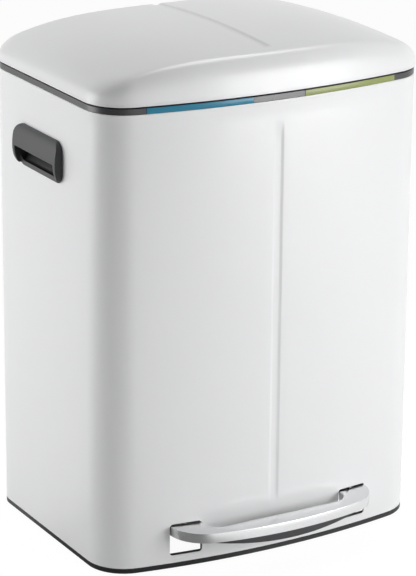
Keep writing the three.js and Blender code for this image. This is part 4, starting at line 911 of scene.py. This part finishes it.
core_plastic = grained("dark core plastic", (0.03, 0.031, 0.033), 0.0005, 0.04, 0.10, 0.42, 0.5)
belly_half, belly_drop = 0.104, 0.010
belly_radius = (belly_half ** 2 + belly_drop ** 2) / (2 * belly_drop)
belly_lean = math.asin(belly_half / belly_radius)
core_top = pedal_high - 0.0018
belly = arc(0, pedal_low - belly_drop + belly_radius, belly_radius, -quarter - belly_lean,
            -quarter + belly_lean, 40)
side_view = [*belly, (belly_half, core_top), (-belly_half, core_top)]
core = prism("pedal_belly", [(x, pedal_front - 0.001, z) for x, z in side_view],
             (0, pedal_back - pedal_front + 0.002, 0))
carve(core, prism("footprint", pedal_outline(0.0018, 0.02), (0, 0, 0.04)), operation='INTERSECT')
soften(core, 0.0005, 2, 40)
finish_piece(core, "pedal", core_plastic, "pedal_core")

# ---------------------------------------------------------------- lever, axle and brackets
# Two zinc-plated steel arms turn on nylon bushes round a steel axle under the bucket
# platform, and a channel joins their rear ends. Brackets and rivets hang the axle there.

nylon = grained("natural nylon", (0.72, 0.70, 0.64), 0.0006, 0.02, 0.04, 0.4, 0.5)

for hand in ("left", "right"):
    eased_copy("lever_arm_" + hand, "arm_" + hand, "pedal", zinc, 0.0004)
    eased_copy("axle_bracket_" + hand, "bracket_" + hand, "housing", zinc, 0.0004)
eased_copy("lever_cross", "cross_channel", "pedal", zinc, 0.0004)
platform_plastic = grained("platform plastic", (0.040, 0.041, 0.043), 0.0005, 0.05, 0.10, 0.45, 0.55)
eased_copy("bucket_platform", "platform", "housing", platform_plastic, 0.0005)

axle_y, axle_z = mid_y - 0.0535, 0.034
axle_bore, clip_x = 0.0043, 0.1412


def pin(node, name, body, axis):
    """A plain zinc-plated pin in the box of a node, its ends eased."""
    low, high, middle = middle_of(node)
    i = "XYZ".index(axis)
    run = Vector((0, 0, 0))
    run[i] = 1
    start = middle.copy()
    start[i] = low[i]
    length = high[i] - low[i]
    radius = min((high - low)[j] for j in range(3) if j != i) / 2
    ease = radius * 0.2
    piece = turned(name, [(0, 0), (radius - ease, 0), (radius - ease * 0.3, ease * 0.3), (radius, ease),
                          (radius, length - ease), (radius - ease * 0.3, length - ease * 0.3),
                          (radius - ease, length), (0, length)], start, run)
    finish_piece(piece, body, zinc, node)


pin("pedal_axle", "axle", "housing", 'X')
pin("push_rod", "lifting_rod", "push_rod", 'Z')

for hand, side in hands:
    profile = [(axle_bore, -0.0103), (0.0061, -0.0103), (0.0061, 0.0103), (0.0081, 0.0103),
               (0.0081, 0.0115), (axle_bore, 0.0115), (axle_bore, -0.0103)]
    bush = turned("bush_" + hand, profile, (side * lever_x, axle_y, axle_z), (side, 0, 0))
    finish_piece(bush, "pedal", nylon, "pedal_bush_" + hand)
    profile = [(axle_bore, 0), (0.0073, 0), (0.0075, 0.0002), (0.0075, 0.001), (0.0073, 0.0012),
               (axle_bore, 0.0012), (axle_bore, 0)]
    clip = turned("clip_" + hand, profile, (side * clip_x, axle_y, axle_z), (side, 0, 0))
    finish_piece(clip, "housing", zinc, "axle_clip_" + hand)


def rivet(node, name, body, up):
    """A dome-headed rivet in the box of a node, its head towards up."""
    low, high, middle = middle_of(node)
    head_z, tail_z = (high.z, low.z) if up > 0 else (low.z, high.z)
    length = abs(head_z - tail_z)
    r = 0.0038
    profile = [(0, 0), (0.002, 0), (0.002, length - 0.0012), (r, length - 0.0012),
               (r * 0.93, length - 0.0007), (r * 0.7, length - 0.0003), (r * 0.35, length - 0.00005),
               (0, length)]
    piece = turned(name, profile, (middle.x, middle.y, tail_z), (0, 0, up), 32)
    finish_piece(piece, body, zinc, node, 40)


for hand in ("left", "right"):
    for end in ("front", "rear"):
        rivet(f"pedal_rivet_{hand}_{end}", f"rivet_{hand}_{end}", "pedal", 1)
    rivet("axle_bracket_rivet_" + hand, "bracket_rivet_" + hand, "housing", -1)

# ---------------------------------------------------------------- push rod and damper
# The channel lifts a steel rod by its nylon foot. The rod runs up the back through two
# plastic guides, and its nylon yoke turns the lid by a crank pin. A damper beside it slows
# the lid's fall.

eased_copy("rod_yoke", "yoke", "push_rod", nylon, 0.0003, 40)
eased_copy("rod_guide_lower", "guide_lower", "housing", black_plastic, 0.0004, 40)
eased_copy("rod_guide_upper", "guide_upper", "housing", black_plastic, 0.0004, 40)
eased_copy("damper_bracket", "damper_strap", "housing", zinc, 0.0003, 40)
rod_y = mid_y + 0.1415
shoe_bottom = 0.0243
profile = [(0, 0.0), (0.0024, 0.00035), (0.0045, 0.0014), (0.0056, 0.0024), (0.006, 0.0036), (0.006, 0.0196),
           (0.0056, 0.02), (0.0033, 0.02), (0.0033, 0.006), (0, 0.006)]
foot = turned("rod_shoe", profile, (0, rod_y, shoe_bottom), (0, 0, 1))
finish_piece(foot, "push_rod", nylon, "rod_foot")
damper_x, barrel_bottom = 0.045, 0.110
profile = [(0, 0.082), (0.007, 0.082), (0.0084, 0.0806), (0.009, 0.078), (0.009, 0.0015), (0.0085, 0.0005),
           (0.0075, 0), (0.0028, 0), (0.0028, 0.076), (0, 0.076)]
cylinder = turned("damper_barrel", profile, (damper_x, rod_y, barrel_bottom), (0, 0, 1))
finish_piece(cylinder, "housing", core_plastic, "damper_cylinder")
profile = [(0, 0), (0.002, 0.0004), (0.0036, 0.0014), (0.004, 0.0024), (0.004, 0.0066), (0.0036, 0.007),
           (0.0025, 0.0073), (0.0025, 0.102), (0, 0.102)]
plunger = turned("damper_plunger", profile, (damper_x, rod_y, shoe_bottom), (0, 0, 1))
finish_piece(plunger, "damper_rod", zinc, "damper_rod")

# ---------------------------------------------------------------- hinge
# A moulded block screwed to the back carries a steel pin between two ears. The lid's leaf
# turns on it, and two cheeks below the leaf hold the crank pin.

eased_copy("hinge_block", "hinge_bracket", "housing", black_plastic, 0.0005, 35)
eased_copy("hinge_leaf", "leaf", "lid", black_plastic, 0.0004, 35)
hinge_y, hinge_z = mid_y + 0.166207, 0.573
profile = [(0, -0.062), (0.0035, -0.062), (0.0041, -0.0614), (0.0041, -0.0605), (0.0025, -0.0605),
           (0.0025, 0.0615), (0.0018, 0.0622), (0, 0.0622)]
turned_pin = turned("pivot", profile, (0, hinge_y, hinge_z), (1, 0, 0))
finish_piece(turned_pin, "housing", zinc, "hinge_pin")
low, high, middle = middle_of("crank_pin")
reach = (high.x - low.x) / 2
profile = [(0, -reach), (0.0034, -reach), (0.0037, 0.0003 - reach), (0.0037, 0.0012 - reach),
           (0.0025, 0.0012 - reach), (0.0025, reach - 0.0004), (0.0021, reach), (0, reach)]
crank = turned("crank_axle", profile, middle, (1, 0, 0))
finish_piece(crank, "lid", zinc, "crank_pin")


def screw(node, name, body, axis):
    """A pan-head screw in the box of a node with a cross recess, its tip towards axis."""
    low, high, middle = middle_of(node)
    axis = Vector(axis)
    length = abs((high - low).dot(axis))
    start = middle - axis * length / 2
    profile = [(0, 0), (0.0026, 0.0), (0.0036, 0.0007), (0.004, 0.0016), (0.004, 0.0024), (0.0019, 0.0024),
               (0.0019, length - 0.0008), (0.0012, length), (0, length)]
    piece = turned(name, profile, start, axis, 32)
    side = axis.orthogonal().normalized()
    for arm in (side, axis.cross(side)):
        other = axis.cross(arm)
        span = [abs(a) * 0.0021 + abs(o) * 0.0004 + abs(r) * 0.0011 for a, o, r in zip(arm, other, axis)]
        carve(piece, block("recess", start - Vector(span), start + Vector(span)))
    finish_piece(piece, body, zinc, node)


for hand in ("left", "right"):
    screw("hinge_screw_" + hand, "bracket_screw_" + hand, "housing", (0, -1, 0))
    screw("leaf_screw_" + hand, "lid_screw_" + hand, "lid", (0, 0, 1))

# ---------------------------------------------------------------- buckets
# Two moulded grey buckets stand side by side and lift out. Each has a turned-down lip, two
# ears and a wire bail with a plastic grip.

bucket_plastic = grained("grey bucket plastic", (0.085, 0.088, 0.092), 0.0006, 0.05, 0.08, 0.42, 0.52)
bucket_low_x, bucket_high_x = 0.008, 0.188
bucket_front, bucket_rear = mid_y - 0.120, mid_y + 0.121
bucket_floor, bucket_rim = 0.0668, 0.5475
bucket_radius = 0.026


def bucket_loop(side, inset, z):
    """A rounded rectangle: the bucket's plan drawn in by inset."""
    x0, x1 = sorted((side * bucket_low_x, side * bucket_high_x))
    x0, x1, y0, y1 = x0 + inset, x1 - inset, bucket_front + inset, bucket_rear - inset
    r = bucket_radius - inset * 0.6
    point(x0 + r, y0, z)
    draw_on(x1 - x0 - 2 * r, 0, 0)
    spin(8, quarter, (x1 - r, y0 + r, z))
    draw_on(0, y1 - y0 - 2 * r, 0)
    spin(8, quarter, (x1 - r, y1 - r, z))
    draw_on(x0 - x1 + 2 * r, 0, 0)
    spin(8, quarter, (x0 + r, y1 - r, z))
    draw_on(0, y0 - y1 + 2 * r, 0)
    spin(8, quarter, (x0 + r, y0 + r, z))


bail_z = bucket_rim + 0.0027
bail_reach = 0.112
for hand, side in hands:
    bucket = start_mesh("bin_bucket_" + hand)
    under = bucket_rim - 0.0025
    profile = [(0.012, bucket_floor), (0.0095, bucket_floor + 0.0008), (0.008, bucket_floor + 0.004),
               (0, under), (-0.0045, under), (-0.0045, bucket_rim - 0.0085), (-0.0063, bucket_rim - 0.0085),
               (-0.0063, bucket_rim - 0.0012), (-0.0059, bucket_rim - 0.0003), (-0.005, bucket_rim),
               (0.0012, bucket_rim), (0.002, bucket_rim - 0.0008),
               (0.010, bucket_floor + 0.007), (0.0115, bucket_floor + 0.0035), (0.014, bucket_floor + 0.0025)]
    bridge_loops(lambda inset, z: bucket_loop(side, inset, z), profile)
    for end in (0, len(profile) - 1):
        bpy.ops.mesh.select_all(action='DESELECT')
        select_loop(end)
        bpy.ops.mesh.edge_face_add()
    end_mesh()
    inner, outer = side * (bucket_low_x - 0.0012), side * (bucket_high_x + 0.0012)
    left, right = sorted((inner, outer))
    for x, outward in ((left, -1), (right, 1)):
        near, far = sorted((x + outward * 0.0024, x + outward * 0.005))
        ear = block("ear", (near, mid_y - 0.006, under + 0.0005), (far, mid_y + 0.006, bucket_rim + 0.007))
        bpy.ops.object.mode_set(mode='EDIT')
        select_where(ear, "edges", lambda edge: min(v.co.z for v in edge.verts) > bucket_rim + 0.006
                     and abs(edge.verts[0].co.y - edge.verts[1].co.y) < 1e-5)
        bpy.ops.mesh.bevel(offset=0.0058, segments=8, affect='EDGES')
        bpy.ops.object.mode_set(mode='OBJECT')
        carve(bucket, ear, operation='UNION')
    carve(bucket, rod("bail hole", 0.0023, (left - 0.01, mid_y, bail_z), (left, mid_y, bail_z), 24),
          rod("bail hole", 0.0023, (right, mid_y, bail_z), (right + 0.01, mid_y, bail_z), 24))
    finish_piece(bucket, "bucket_" + hand, bucket_plastic, "bucket_" + hand)

    wire = start_mesh("wire_" + hand)
    end, turn, corner = 0.0056, 0.0032, 0.014
    front = mid_y - bail_reach
    point(left - end, mid_y, bail_z)
    draw_on(end - turn, 0, 0)
    spin(8, -quarter, (left - turn, mid_y - turn, bail_z))
    draw_on(0, front + corner - mid_y + turn, 0)
    spin(12, quarter, (left + corner, front + corner, bail_z))
    draw_on(right - left - 2 * corner, 0, 0)
    spin(12, quarter, (right - corner, front + corner, bail_z))
    draw_on(0, mid_y - turn - front - corner, 0)
    spin(8, -quarter, (right + turn, mid_y - turn, bail_z))
    draw_on(end - turn, 0, 0)
    bpy.ops.mesh.select_all(action='SELECT')
    bpy.ops.mesh.remove_doubles(threshold=1e-5)
    bpy.ops.object.mode_set(mode='OBJECT')
    bpy.ops.object.convert(target='CURVE')
    wire = bpy.context.object
    wire.data.bevel_depth = 0.002
    wire.data.bevel_resolution = 4
    wire.data.use_fill_caps = True
    bpy.ops.object.convert(target='MESH')
    wire = bpy.context.object
    bpy.ops.object.mode_set(mode='EDIT')
    end_mesh()
    finish_piece(wire, "bail_" + hand, zinc, "bail_" + hand, 40)
    half = 0.042
    profile = [(0.0023, -half), (0.004, -half), (0.0047, 0.0006 - half), (0.005, 0.002 - half),
               (0.0044, -0.02), (0.0043, 0), (0.0044, 0.02), (0.005, half - 0.002), (0.0047, half - 0.0006),
               (0.004, half), (0.0023, half), (0.0023, -half)]
    grip = turned("grip_" + hand, profile, ((left + right) / 2, front, bail_z), (1, 0, 0))
    finish_piece(grip, "bail_" + hand, core_plastic, "bail_grip_" + hand)
